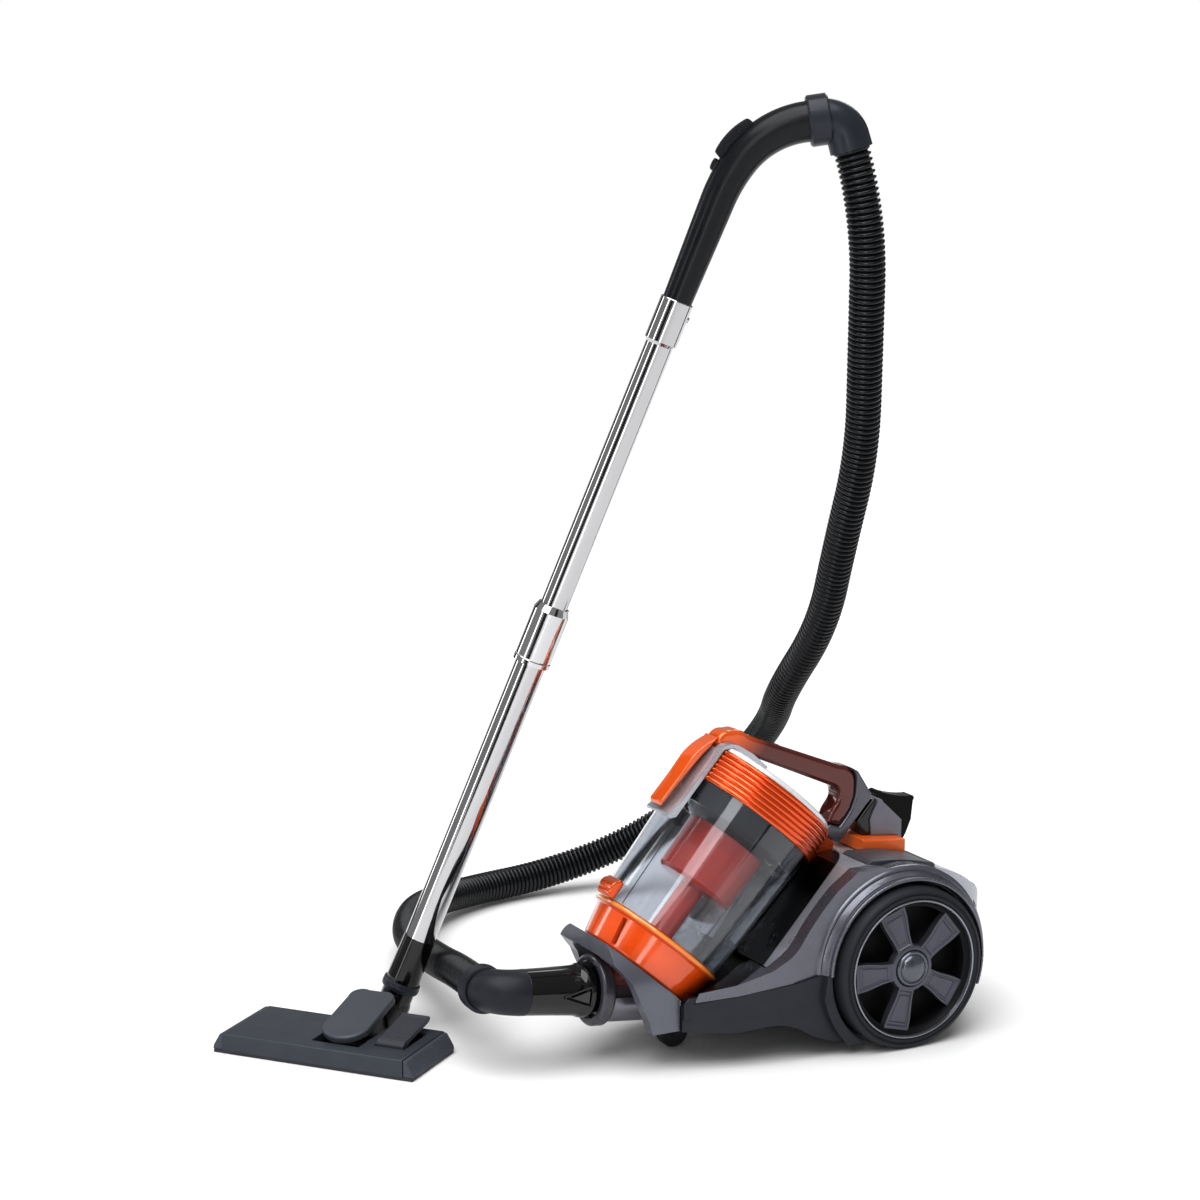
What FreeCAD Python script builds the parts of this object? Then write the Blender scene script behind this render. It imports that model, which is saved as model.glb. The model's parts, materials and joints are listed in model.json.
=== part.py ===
import FreeCAD, Part
import math
import os
import Sketcher
from FreeCAD import Placement, Rotation, Vector

# Canister vacuum cleaner: a wheeled canister with a tilted bagless dust cup, a hose,
# a bent handle, a telescopic tube and a floor head.
# Millimetres, +Z up.  The canister's nose points along -Y and its left side is +X.
# The row's origin lies on the floor, in the middle of the whole cleaner's footprint.

DIMENSIONS = {
    # place of the canister: the middle of its rear axle above the floor
    "axle_x": 74.17,
    "axle_y": 288.06,
    "axle_z": 95.0,
    # rear wheels
    "wheel_radius": 95.0,
    "wheel_width": 40.0,
    "wheel_inner_x": 100.0,
    "axle_radius": 5.0,
    "running_gap": 0.06,
    # front caster
    "caster_y": -250.0,
    "caster_radius": 18.0,
    "caster_width": 16.0,
    "caster_trail": -12.0,
    # canister
    "body_half_width": 93.4,
    "chassis_half_width": 118.0,
    "fender_radius": 115.0,
    "fender_outer_x": 129.0,
    "well_radius": 101.0,
    # dust cup, whose own axis leans back
    "cup_y": -287.0,
    "cup_z": 99.0,
    "cup_tilt": 41.5,
    "cup_base_radius": 79.0,
    "cup_top_radius": 89.0,
    "cup_base_height": 46.0,
    "cup_clear_height": 168.0,
    "lid_height": 42.0,
    "cup_wall": 2.5,
    "cup_clearance": 93.0,
    # inlet and hose connector
    "inlet_y": -337.0,
    "inlet_z": 82.4,
    "inlet_rise": 6.5,
    "inlet_bore_radius": 26.0,
    "connector_radius": 28.5,
    # hose
    "hose_radius": 20.5,
    "hose_wall": 2.0,
    # telescopic tube, which stands on its foot point and leans
    "foot_x": -195.0,
    "foot_y": -465.4,
    "foot_z": 107.8,
    "tube_heading": 62.4,
    "tube_tilt": 21.8,
    "lower_tube_radius": 18.0,
    "lower_tube_length": 405.0,
    "upper_tube_radius": 16.0,
    "upper_tube_start": 285.0,
    "tube_wall": 1.0,
    "socket_start": 748.0,
    "socket_end": 797.5,
    "socket_radius": 19.0,
    "sleeve_start": 352.0,
    "sleeve_length": 72.0,
    "sleeve_radius": 21.5,
    # bent handle
    "handle_start_radius": 16.8,
    "handle_end_radius": 23.0,
    # floor head
    "head_x": -157.5,
    "head_y": -591.0,
    "head_heading": 39.4,
    "head_length": 255.0,
    "head_depth": 107.0,
    "head_height": 24.0,
    "sole_height": 4.0,
    "neck_x": 20.0,
    "hinge_y": 5.0,
    "hinge_z": 16.0,
}

os.makedirs("parts", exist_ok=True)
doc = FreeCAD.newDocument("canister_vacuum")
sheet = doc.addObject("Spreadsheet::Sheet", "dims")
for row, (alias, number) in enumerate(DIMENSIONS.items(), start=1):
    sheet.set(f"A{row}", alias)
    sheet.set(f"B{row}", str(number))
    sheet.setAlias(f"B{row}", alias)
doc.recompute()

nodes = []


# ---------------------------------------------------------------- sizes and placing

class Size(float):
    """A number that remembers the sheet expression it was worked out from."""

    def __new__(cls, value, text):
        size = float.__new__(cls, value)
        size.text = text
        return size

    def joined(self, other, sign, value, swapped=False):
        other_text = other.text if isinstance(other, Size) else f"{float(other):.6f}"
        first, second = (other_text, self.text) if swapped else (self.text, other_text)
        return Size(value, f"({first} {sign} {second})")

    def __add__(self, other):
        return self.joined(other, "+", float(self) + float(other))

    def __radd__(self, other):
        return self.joined(other, "+", float(other) + float(self), swapped=True)

    def __sub__(self, other):
        return self.joined(other, "-", float(self) - float(other))

    def __rsub__(self, other):
        return self.joined(other, "-", float(other) - float(self), swapped=True)

    def __mul__(self, other):
        return self.joined(other, "*", float(self) * float(other))

    def __rmul__(self, other):
        return self.joined(other, "*", float(other) * float(self), swapped=True)

    def __truediv__(self, other):
        return self.joined(other, "/", float(self) / float(other))

    def __neg__(self):
        return Size(-float(self), f"(-1 * {self.text})")


def dim(alias):
    """The sheet's cell of that alias."""
    return Size(sheet.get(alias), f"dims.{alias}")


def put(thing, **sizes):
    """Set sizes on an object, bound to the sheet where they come from it."""
    for name, value in sizes.items():
        setattr(thing, name, float(value))
        if isinstance(value, Size):
            thing.setExpression(name, value.text)


def place(thing, x=0.0, y=0.0, z=0.0, turn=None):
    """Place an object, with its base bound to the sheet."""
    thing.Placement = Placement(Vector(float(x), float(y), float(z)), turn or Rotation())
    for axis, value in (("x", x), ("y", y), ("z", z)):
        if isinstance(value, Size):
            thing.setExpression(f"Placement.Base.{axis}", value.text)
    return thing


def about(axis, degrees):
    """A turn about one of the row's axes."""
    axes = {"x": Vector(1, 0, 0), "y": Vector(0, 1, 0), "z": Vector(0, 0, 1)}
    return Rotation(axes[axis], float(degrees))


CUP_TURN = about("x", -dim("cup_tilt"))
INLET_TURN = about("x", 90.0 - dim("inlet_rise"))
TUBE_TURN = about("z", dim("tube_heading")) * about("y", dim("tube_tilt"))
HEAD_TURN = about("z", dim("head_heading"))

FRAMES = {
    "canister": (dim("axle_x"), dim("axle_y"), 0.0, Rotation()),
    "cup": (dim("axle_x"), dim("axle_y") + dim("cup_y"), dim("cup_z"), CUP_TURN),
    "inlet": (dim("axle_x"), dim("axle_y") + dim("inlet_y"), dim("inlet_z"), INLET_TURN),
    "tube": (dim("axle_x") + dim("foot_x"), dim("axle_y") + dim("foot_y"), dim("foot_z"), TUBE_TURN),
    "head": (dim("axle_x") + dim("head_x"), dim("axle_y") + dim("head_y"), 0.0, HEAD_TURN),
    "row": (0.0, 0.0, 0.0, Rotation()),
}


def keep(label, thing, frame, x=0.0, y=0.0, z=0.0, turn=None):
    """Make an object a node of the assembly, in one of the frames above."""
    base_x, base_y, base_z, base_turn = FRAMES[frame]
    own = thing.Placement
    turn = turn or Rotation()
    shift = base_turn.multVec(Vector(float(x), float(y), float(z)) + turn.multVec(own.Base))
    for axis in "xyz":
        thing.setExpression(f"Placement.Base.{axis}", None)
    place(thing, base_x + shift.x, base_y + shift.y, base_z + shift.z, base_turn * turn * own.Rotation)
    thing.Label = label
    nodes.append(thing)
    return thing


# ---------------------------------------------------------------- sketches and solids

def draw(sketch, outline):
    """Draw a closed outline: (x, y) is a corner, (mid_x, mid_y, x, y) an arc to a corner.

    Corners whose numbers come from the sheet are tied to it.
    """
    corners = [tuple(step[-2:]) for step in outline]
    ends = []
    for number, step in enumerate(outline):
        start = corners[number - 1]
        first = Vector(float(start[0]), float(start[1]), 0)
        last = Vector(float(step[-2]), float(step[-1]), 0)
        if len(step) == 2:
            sketch.addGeometry(Part.LineSegment(first, last), False)
            ends.append(2)
        else:
            middle_point = Vector(float(step[0]), float(step[1]), 0)
            sketch.addGeometry(Part.Arc(first, middle_point, last), False)
            turning = (middle_point - first).cross(last - middle_point).z
            ends.append(2 if turning > 0 else 1)
    for number in range(len(outline)):
        following = (number + 1) % len(outline)
        sketch.addConstraint(Sketcher.Constraint(
            "Coincident", number, ends[number], following, 3 - ends[following]))
    for number, corner in enumerate(corners):
        for kind, value in zip(("DistanceX", "DistanceY"), corner):
            if isinstance(value, Size) and abs(value) > 1e-6:
                index = sketch.addConstraint(Sketcher.Constraint(
                    kind, -1, 1, number, ends[number], float(value)))
                sketch.setExpression(f"Constraints[{index}]", value.text)


def sketch_in(body, plane, outline, offset=0.0):
    """A sketch of the body's own, on one of its origin planes."""
    sketch = body.newObject("Sketcher::SketchObject", body.Name + "_sketch")
    origin = [item for item in body.Origin.OriginFeatures if item.Role == plane + "_Plane"][0]
    sketch.AttachmentSupport = [(origin, "")]
    sketch.MapMode = "FlatFace"
    sketch.AttachmentOffset = Placement(Vector(0, 0, float(offset)), Rotation())
    if isinstance(offset, Size):
        sketch.setExpression("AttachmentOffset.Base.z", offset.text)
    draw(sketch, outline)
    return sketch


def turned(name, outline):
    """A body turned about its Z axis from an outline of (radius, z) corners."""
    body = doc.addObject("PartDesign::Body", name)
    sketch = sketch_in(body, "XZ", outline)
    turning = body.newObject("PartDesign::Revolution", name + "_turning")
    turning.Profile = sketch
    turning.ReferenceAxis = (sketch, ["V_Axis"])
    turning.Angle = 360.0
    body.Tip = turning
    return body


def slab(name, plane, outline, low, high):
    """A body padded from low to high along its plane's normal axis.

    The planes are XY (along Z), XZ (along Y) and YZ (along X).
    """
    body = doc.addObject("PartDesign::Body", name)
    offset = -high if plane == "XZ" else low
    sketch = sketch_in(body, plane, outline, offset)
    pad = body.newObject("PartDesign::Pad", name + "_pad")
    pad.Profile = sketch
    put(pad, Length=high - low)
    body.Tip = pad
    return body


def patterned_pocket(body, outline, depth, count, offset):
    """Cut an outline into the body's top, repeated round its Z axis."""
    sketch = sketch_in(body, "XY", outline, offset)
    pocket = body.newObject("PartDesign::Pocket", sketch.Name + "_cut")
    pocket.Profile = sketch
    put(pocket, Length=depth)
    body.Tip = pocket
    doc.recompute()
    pattern = body.newObject("PartDesign::PolarPattern", sketch.Name + "_pattern")
    pattern.Originals = [pocket]
    z_axis = [item for item in body.Origin.OriginFeatures if item.Role == "Z_Axis"][0]
    pattern.Axis = (z_axis, [""])
    pattern.Angle = 360.0
    pattern.Occurrences = count
    body.Tip = pattern
    return body


def cylinder(name, radius, low, high, x=0.0, y=0.0, z=0.0, turn=None):
    """A cylinder from low to high along its own axis, placed at a point."""
    turn = turn or Rotation()
    shift = turn.multVec(Vector(0, 0, float(low)))
    rod = doc.addObject("Part::Cylinder", name)
    put(rod, Radius=radius, Height=high - low)
    return place(rod, x + shift.x, y + shift.y, z + shift.z, turn)


def box(name, x_span, y_span, z_span):
    """A box between two values on each axis."""
    block = doc.addObject("Part::Box", name)
    put(block, Length=x_span[1] - x_span[0], Width=y_span[1] - y_span[0],
        Height=z_span[1] - z_span[0])
    return place(block, x_span[0], y_span[0], z_span[0])


def sphere(name, radius, x=0.0, y=0.0, z=0.0):
    ball = doc.addObject("Part::Sphere", name)
    put(ball, Radius=radius)
    return place(ball, x, y, z)


def fused(name, *things):
    union = doc.addObject("Part::MultiFuse", name)
    union.Shapes = list(things)
    return union


def common(name, first, second):
    overlap = doc.addObject("Part::Common", name)
    overlap.Base = first
    overlap.Tool = second
    return overlap


def cut(name, base, *tools):
    """The base less each tool in turn."""
    for number, tool in enumerate(tools):
        step = doc.addObject("Part::Cut", f"{name}_{number}" if len(tools) > 1 else name)
        step.Base = base
        step.Tool = tool
        base = step
    return base


def rounded(name, thing, radius, wanted):
    """Round the edges for which wanted(edge) is true, with a smaller radius where it must be."""
    doc.recompute()
    picked = [number + 1 for number, edge in enumerate(thing.Shape.Edges) if wanted(edge)]
    fillet = doc.addObject("Part::Fillet", name)
    fillet.Base = thing
    for share in (1.0, 0.5, 0.25):
        fillet.Edges = [(number, radius * share, radius * share) for number in picked]
        doc.recompute()
        if not fillet.Shape.isNull() and fillet.Shape.isValid() and "Invalid" not in fillet.State:
            return fillet
    print(name, "stays sharp")
    doc.removeObject(fillet.Name)
    return thing


def middle(edge):
    return edge.valueAt((edge.FirstParameter + edge.LastParameter) / 2)


def in_planes(x_values):
    """A test for edges that lie in one of the planes of constant x."""
    def wanted(edge):
        box_of_edge = edge.BoundBox
        return box_of_edge.XLength < 1e-4 and any(
            abs(box_of_edge.XMin - value) < 1e-3 for value in x_values)
    return wanted


def ring(name, outer, inner, low, high):
    """A plain turned ring."""
    return turned(name, [(inner, low), (outer, low), (outer, high), (inner, high)])


def swept(name, path, start_radius, end_radius):
    """A solid of round section along a path, its radius growing evenly."""
    spine = doc.addObject("Part::Feature", name + "_spine")
    spine.Shape = path
    sections = []
    edges = path.OrderedEdges
    ends = ((edges[0], edges[0].FirstParameter, start_radius),
            (edges[-1], edges[-1].LastParameter, end_radius))
    for number, (edge, parameter, radius) in enumerate(ends):
        circle = doc.addObject("Part::Circle", f"{name}_section_{number}")
        put(circle, Radius=radius)
        point = edge.valueAt(parameter)
        heading = edge.tangentAt(parameter)
        circle.Placement = Placement(point, Rotation(Vector(0, 0, 1), heading))
        sections.append(circle)
    sweep = doc.addObject("Part::Sweep", name)
    sweep.Sections = sections
    sweep.Spine = (spine, [f"Edge{number + 1}" for number in range(len(edges))])
    sweep.Solid = True
    sweep.Frenet = False
    return sweep


def rounded_path(points, radii):
    """Straight runs through the points, joined by tangent arcs of the given radii."""
    edges = []
    start = points[0]
    for corner, following, before, radius in zip(points[1:-1], points[2:], points[:-2], radii):
        inward = (corner - before).normalize()
        outward = (following - corner).normalize()
        turn = inward.getAngle(outward)
        reach = radius * math.tan(turn / 2)
        arc_start = corner - inward * reach
        arc_end = corner + outward * reach
        bisector = (outward - inward).normalize()
        centre = corner + bisector * (radius / math.cos(turn / 2))
        arc_middle = centre - bisector * radius
        edges.append(Part.LineSegment(start, arc_start).toShape())
        edges.append(Part.Arc(arc_start, arc_middle, arc_end).toShape())
        start = arc_end
    edges.append(Part.LineSegment(start, points[-1]).toShape())
    return Part.Wire(edges)


# ---------------------------------------------------------------- rear wheels

def wheel(side, direction):
    """A rear wheel: a tyre and a five-spoked rim with its domed hub cap.

    The wheel's own Z axis points outwards, and its inner face is at zero.
    """
    outer = dim("wheel_radius")
    width = dim("wheel_width")
    tyre = turned(f"tyre_{side}", [
        (outer - 14, 2), (outer - 5, 2), (outer - 1.5, 3.5, outer, 7), (outer, width - 9),
        (outer - 1.2, width - 4, outer - 4, width - 1), (outer - 6, width - 0.4),
        (outer - 7, width - 2), (outer - 8.5, width - 2), (outer - 9.5, width - 0.2),
        (outer - 12, width - 0.6), (outer - 13, width - 3), (outer - 14, width - 3)])
    lip = outer - 14.3
    rim = turned(f"rim_disc_{side}", [
        (dim("axle_radius") + dim("running_gap"), 2), (13, 2), (13, 20), (19, 24), (60, 25),
        (lip - 5, 22), (lip - 5, 3), (lip, 3), (lip, width - 2.9), (lip + 0.9, width - 2.8),
        (lip + 0.9, width), (lip - 0.6, width + 1, lip - 2.4, width),
        (lip - 4, width - 5), (lip - 7, width - 7), (60, width - 7), (26, width - 4.5),
        (21.5, width - 3), (21.5, width - 8), (dim("axle_radius") + dim("running_gap"), width - 8)])
    window_low, window_high = 30.0, 71.0
    corner_turn, tip_turn = math.radians(25.0), math.radians(8.0)
    window = [
        (window_high * math.cos(corner_turn), window_high * math.sin(corner_turn)),
        (window_high, 0.0, window_high * math.cos(corner_turn), -window_high * math.sin(corner_turn)),
        (window_low * math.cos(tip_turn), -window_low * math.sin(tip_turn)),
        (window_low - 2.5, 0.0, window_low * math.cos(tip_turn), window_low * math.sin(tip_turn))]
    patterned_pocket(rim, window, width, 5, width + 2)
    cap = turned(f"hub_cap_{side}", [
        (0, width - 8.2), (21.7, width - 8.2), (20.8, width - 1), (19.5, width + 0.8),
        (17, width + 0.8), (16, width), (9, width + 3.6, 2, width + 4.5), (0, width + 4.5)])
    turn = about("y", 90.0 * direction) * about("z", 21.0)
    for label, piece in ((f"tyre_{side}", tyre), (f"rim_{side}", fused(f"rim_with_cap_{side}", rim, cap))):
        keep(label, piece, "canister", direction * dim("wheel_inner_x"), 0.0, dim("axle_z"), turn)


def stub_axles():
    """The two steel stubs that the rear wheels turn on."""
    half = dim("wheel_inner_x") + 30
    across = about("y", 90)
    left = cylinder("stub_left", dim("axle_radius"), 86.0, half, turn=across)
    right = cylinder("stub_right", dim("axle_radius"), -half, -86.0, turn=across)
    keep("stub_axles", fused("stub_pair", left, right), "canister", z=dim("axle_z"))


# ---------------------------------------------------------------- front caster

def caster():
    """The swivelling front wheel, and its fork with stem and pin."""
    radius = dim("caster_radius")
    half = dim("caster_width") / 2
    trail = dim("caster_trail")
    wheel_turn = about("y", 90)
    tread = turned("caster_tread", [
        (2.05, -half), (radius - 3, -half), (radius - 0.9, -half + 0.9, radius, -half + 3),
        (radius, half - 3), (radius - 0.9, half - 0.9, radius - 3, half), (2.05, half)])
    keep("caster_wheel", tread, "canister", 0.0, dim("caster_y") - trail, radius, wheel_turn)
    pin = cylinder("caster_rod", 2.0, -half - 4, half + 4, 0.0, -trail, radius, wheel_turn)
    crown = cylinder("caster_crown", 17.0, radius + 19.5, radius + 22.5)
    stem = cylinder("caster_stem", 6.0, radius + 22.5, radius + 34)
    cheeks = []
    for number, sign in enumerate((-1, 1)):
        low, high = sorted((sign * (float(half) + 0.6), sign * (float(half) + 3.6)))
        cheek = slab(f"caster_cheek_{number}", "YZ", [
            (-trail - 5, radius), (-trail, radius - 5, -trail + 5, radius), (12, radius + 20),
            (-14, radius + 20)], low, high)
        cheeks.append(cheek)
    fork = fused("caster_fork_solid", crown, stem, pin, *cheeks)
    keep("caster_fork", fork, "canister", 0.0, dim("caster_y"), 0.0)


# ---------------------------------------------------------------- canister shells

def cup_space(name, drop=6.0):
    """The room that the dust cup and its rear lug take in the canister, in the canister's frame."""
    room = cylinder(name + "_round", dim("cup_clearance"), -drop, 300)
    slot = box(name + "_slot", (-25.0, 25.0), (60.0, 118.0), (218.0, 300.0))
    return place(fused(name, room, slot), 0.0, dim("cup_y"), dim("cup_z"), CUP_TURN)


def wheel_space(name, direction, radius):
    """The round well of one wheel."""
    low = dim("wheel_inner_x") - 6.5
    return cylinder(name, radius, low, low + 80, z=dim("axle_z"), turn=about("y", 90 * direction))


def machine_bay(name):
    """The hollow that holds the motor and the cord reel."""
    return slab(name, "YZ", [
        (-176, 52), (-146, 98), (-66, 187), (48, 184), (104, 164), (123, 138), (125, 66),
        (94, 34), (40, 22), (-60, 22), (-120, 38), (-168, 50)], -88.0, 88.0)


def inlet_room(name, radius, low, high):
    """Room round the inlet's axis, in the canister's frame."""
    return cylinder(name, radius, low, high, 0.0, dim("inlet_y"), dim("inlet_z"), INLET_TURN)


def chassis_base():
    """The dark lower tub, which carries the axle, the caster and everything above."""
    half = dim("chassis_half_width")
    side = slab("chassis_side", "YZ", [
        (-270, 46), (-270, 76), (-209, 84.5), (-144, 92), (-109, 97.5), (128, 97.5), (132, 80),
        (126, 55), (118, 38, 98, 27), (40, 15), (-60, 15), (-92, 18, -124, 30),
        (-145, 42, -170, 46), (-216, 42)], -half, half)
    plan = slab("chassis_plan", "XY", [
        (82, -270), (104, -209), (half - 2, -140), (half, -104), (half, -60), (93, -50),
        (93, 100), (70, 132), (-70, 132), (-93, 100), (-93, -50), (-half, -60), (-half, -104),
        (-(half - 2), -140), (-104, -209), (-82, -270)], 0.0, 120.0)
    tub = common("chassis_block", side, plan)
    edge = dim("fender_outer_x") - 3
    rims = [slab(f"chassis_arch_room_{number}", "YZ", [(-120, 10), (-106.5, 97.5), (-30, 97.5), (-30, 10)],
                 low, high) for number, (low, high) in enumerate(((93.0, edge), (-edge, -93.0)))]
    arch = cylinder("chassis_arch_disc", dim("fender_radius") - 2, -edge, edge,
                    z=dim("axle_z"), turn=about("y", 90))
    arches = common("chassis_arches", arch, fused("chassis_arch_rooms", *rims))
    hollow = cut("chassis_hollowed", fused("chassis_whole", tub, arches),
                 machine_bay("chassis_bay"),
                 wheel_space("chassis_well_left", 1, dim("well_radius")),
                 wheel_space("chassis_well_right", -1, dim("well_radius")),
                 cup_space("chassis_cup_room"),
                 cylinder("chassis_axle_hole", dim("axle_radius"), -140, 140, z=dim("axle_z"),
                          turn=about("y", 90)),
                 cylinder("chassis_stem_hole", 6.06, 30, 70, 0.0, dim("caster_y"), 0.0),
                 cylinder("chassis_crown_recess", 40.0, 0, 43, 0.0, dim("caster_y"), 0.0))
    dishes = [wheel_liner("left", 1), wheel_liner("right", -1)]
    ground = box("chassis_ground", (-140.0, 140.0), (-140.0, 140.0), (-20.0, 12.0))
    keep("chassis_base", cut("chassis_trimmed", fused("chassis_with_dishes", hollow, *dishes), ground),
         "canister")


def wheel_liner(side, direction):
    """The dark dish behind a rear wheel, a part of the tub."""
    radius = dim("well_radius")
    low = dim("wheel_inner_x") - 6.6
    dish = turned(f"liner_{side}", [
        (dim("axle_radius"), low), (radius - 0.4, low), (radius - 0.4, low + 24),
        (radius - 2.6, low + 24), (radius - 2.6, low + 2.5), (dim("axle_radius"), low + 2.5)])
    return place(dish, z=dim("axle_z"), turn=about("y", 90.0 * direction))


def fender(side, direction):
    """The light side panel: an arch over the wheel and a tail that runs to the nose."""
    outer = dim("fender_outer_x")
    radius = dim("fender_radius")
    inner = dim("body_half_width") + 0.3
    arch = turned(f"arch_{side}", [
        (40, inner), (radius, inner), (radius, outer - 22), (radius - 0.8, outer - 16, radius - 4, outer - 13),
        (radius - 5.5, outer - 13.5), (radius - 7, outer - 11), (radius - 9, outer - 6),
        (radius - 10.5, outer - 5.6), (radius - 11, outer - 1.5), (radius - 12, outer, radius - 13.5, outer),
        (dim("well_radius"), outer), (40, outer)])
    front_low, front_high = sorted((direction * -2.9, direction * 400.0))
    rear_low, rear_high = sorted((direction * 35.0, direction * 400.0))
    arch_turned = cut(f"arch_open_{side}", arch,
                      box(f"arch_front_{side}", (front_low, front_high), (-200.0, 0.0), (80.0, 140.0)),
                      box(f"arch_rear_{side}", (rear_low, rear_high), (-0.01, 200.0), (80.0, 140.0)))
    arch_placed = place(arch_turned, z=dim("axle_z"), turn=about("y", 90.0 * direction))
    low, high = sorted((direction * float(inner), direction * (float(outer) - 16)))
    tail_side = slab(f"tail_side_{side}", "YZ", [
        (-269.6, 76.5), (-269.6, 86), (-215, 97), (-180, 105, -158, 116),
        (-142, 127, -130, 142), (-110, 168, -87, 192), (-60, 211), (-20, 209),
        (-20, 98), (-109, 98), (-144, 92.5), (-209, 85)], low, high)
    corners = [(80, -269.8), (104, -209), (114, -140), (115.5, -104), (115.5, -15), (60, -15), (60, -269.8)]
    tail_plan = slab(f"tail_plan_{side}", "XY",
                     [(direction * x, y) for x, y in corners], 60.0, 240.0)
    nose_low, nose_high = sorted((direction * 60.0, direction * (float(outer) - 16)))
    nose_side = slab(f"nose_side_{side}", "YZ", [
        (-269.6, 76.5), (-269.6, 86), (-215, 97), (-170, 109), (-170, 89.5), (-209, 85)],
        nose_low, nose_high)
    tail = common(f"tail_{side}", fused(f"tail_and_nose_{side}", tail_side, nose_side), tail_plan)
    panel = cut(f"panel_{side}", fused(f"panel_whole_{side}", arch_placed, tail),
                wheel_space(f"panel_well_{side}", direction, dim("well_radius")),
                cup_space(f"panel_cup_room_{side}"),
                machine_bay(f"panel_bay_{side}"))
    keep(f"fender_{side}", panel, "canister")


def upper_shell():
    """The rear cover over the motor and the reel, with the cradle behind the cup."""
    half = dim("body_half_width")
    side = slab("shell_side", "YZ", [
        (-150, 98), (-62, 209), (-40, 212), (-6, 206), (52, 196), (84, 187, 108, 172),
        (130, 152, 136, 122), (132, 98)], -half, half)
    plan = slab("shell_plan", "XY", [
        (half, -160), (half, 90), (84, 122, 62, 138), (-62, 138), (-84, 122, -half, 90),
        (-half, -160)], 90.0, 240.0)
    block = common("shell_block", side, plan)
    hollow = cut("shell_hollow", block, machine_bay("shell_bay"), cup_space("shell_cup_room"),
                 cylinder("shell_axle_hole", dim("axle_radius"), -140, 140, z=dim("axle_z"),
                          turn=about("y", 90)),
                 box("pedal_recess_left", (37.0, 93.0), (-37.0, 60.0), (190.0, 240.0)),
                 box("pedal_recess_right", (-93.0, -37.0), (-37.0, 60.0), (190.0, 240.0)),
                 cylinder("outlet_hole", 8.0, 0, 40, -72.0, 110.0, 112.0, about("x", -90)),
                 box("grille_room", (-52.4, 52.4), (100.0, 140.0), (99.0, 131.0)))
    keep("upper_shell", hollow, "canister")


def foot_pedal(label, direction):
    """A rear pedal, hinged at its front edge."""
    low, high = sorted((direction * 38.0, direction * 92.0))
    plate = slab(label + "_plate", "YZ", [
        (-35, 198.5), (-35, 206), (-31, 213, -24, 213.5), (20, 209.5, 50, 202.5),
        (57, 200, 58, 196.5), (50, 197.5), (10, 203), (-20, 206.5), (-30, 198.5)], low, high)
    keep(label, plate, "canister")


def exhaust_grille():
    """The slatted outlet at the back."""
    frame = box("grille_plate", (-52.0, 52.0), (126.0, 134.0), (99.4, 130.6))
    count, pitch = 9, 11.0
    slots = [box(f"grille_slot_{number}", (number * pitch - 47.5, number * pitch - 41.5),
                 (120.0, 140.0), (104.0, 126.0)) for number in range(count)]
    keep("exhaust_grille", cut("grille_slotted", frame, fused("grille_slots", *slots)), "canister")


def exhaust_filter():
    pad = box("exhaust_filter_pad", (-50.0, 50.0), (112.0, 122.0), (101.0, 129.0))
    keep("exhaust_filter", pad, "canister")


def front_bracket():
    """The arch at the nose, under the cup's foot, round the inlet."""
    tilt = math.radians(dim("cup_tilt"))

    def under_cup(y, drop=1.5):
        """Height of the cup's foot plane at y, less a small drop."""
        return dim("cup_z") - (drop + (y - dim("cup_y")) * math.sin(tilt)) / math.cos(tilt)

    arch = slab("bracket_arch", "XZ", [
        (77, 46), (77, 92), (66, 132, 34, 152), (-34, 152), (-66, 132, -77, 92), (-77, 46),
        (-59, 46), (-59, 84), (-52, 118, -24, 131), (24, 131), (52, 118, 59, 84), (59, 46)],
        -352.0, -270.2)
    depth = slab("bracket_depth", "YZ", [
        (-304, 46), (-309, 62), (-330, 110), (-347, 130), (-346, under_cup(-346)),
        (-270.2, under_cup(-270.2)), (-270.2, 46)], -80.0, 80.0)
    keep("front_bracket", common("bracket_solid", arch, depth), "canister")


def deck_and_tower():
    """The raised parts behind the cup: orange strip, latch tower, dock block and parking hook."""
    strip = slab("strip_block", "YZ", [(-4, 206.8), (-4, 222), (56, 215.5), (56, 196.2), (52, 196.2)],
                 -34.0, 34.0)
    keep("deck_strip", rounded("strip_soft", strip, 2.5, in_planes((-34.0, 34.0))), "canister")
    tower = slab("tower_block", "YZ", [
        (19.6, 219.8), (17.6, 238), (21.6, 248), (28, 258), (31, 262, 35, 259), (61.6, 234), (61.6, 196.4),
        (56.4, 196.4), (56.4, 216.1)], -16.0, 16.0)
    keep("latch_tower", tower, "canister")
    block = slab("dock_slab", "YZ", [
        (8, 221.2), (0.5, 238), (10.5, 250), (21.9, 262.5), (27.5, 262.5), (20.9, 248.4), (17.1, 238.2),
        (19.0, 220.1)],
        -15.0, 15.0)
    keep("dock_block", rounded("dock_soft", block, 2.5, in_planes((-15.0, 15.0))), "canister")
    hook = slab("hook_block", "YZ", [
        (60, 196.0), (57, 218), (48.5, 254), (49, 261, 55, 260.5), (75, 254, 96, 251), (100, 250, 99.5, 245), (97, 222),
        (90, 206), (80, 190.4)], -36.0, -17.0)
    keep("parking_hook", rounded("hook_soft", hook, 2.0, in_planes((-36.0, -17.0))), "canister")


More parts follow.
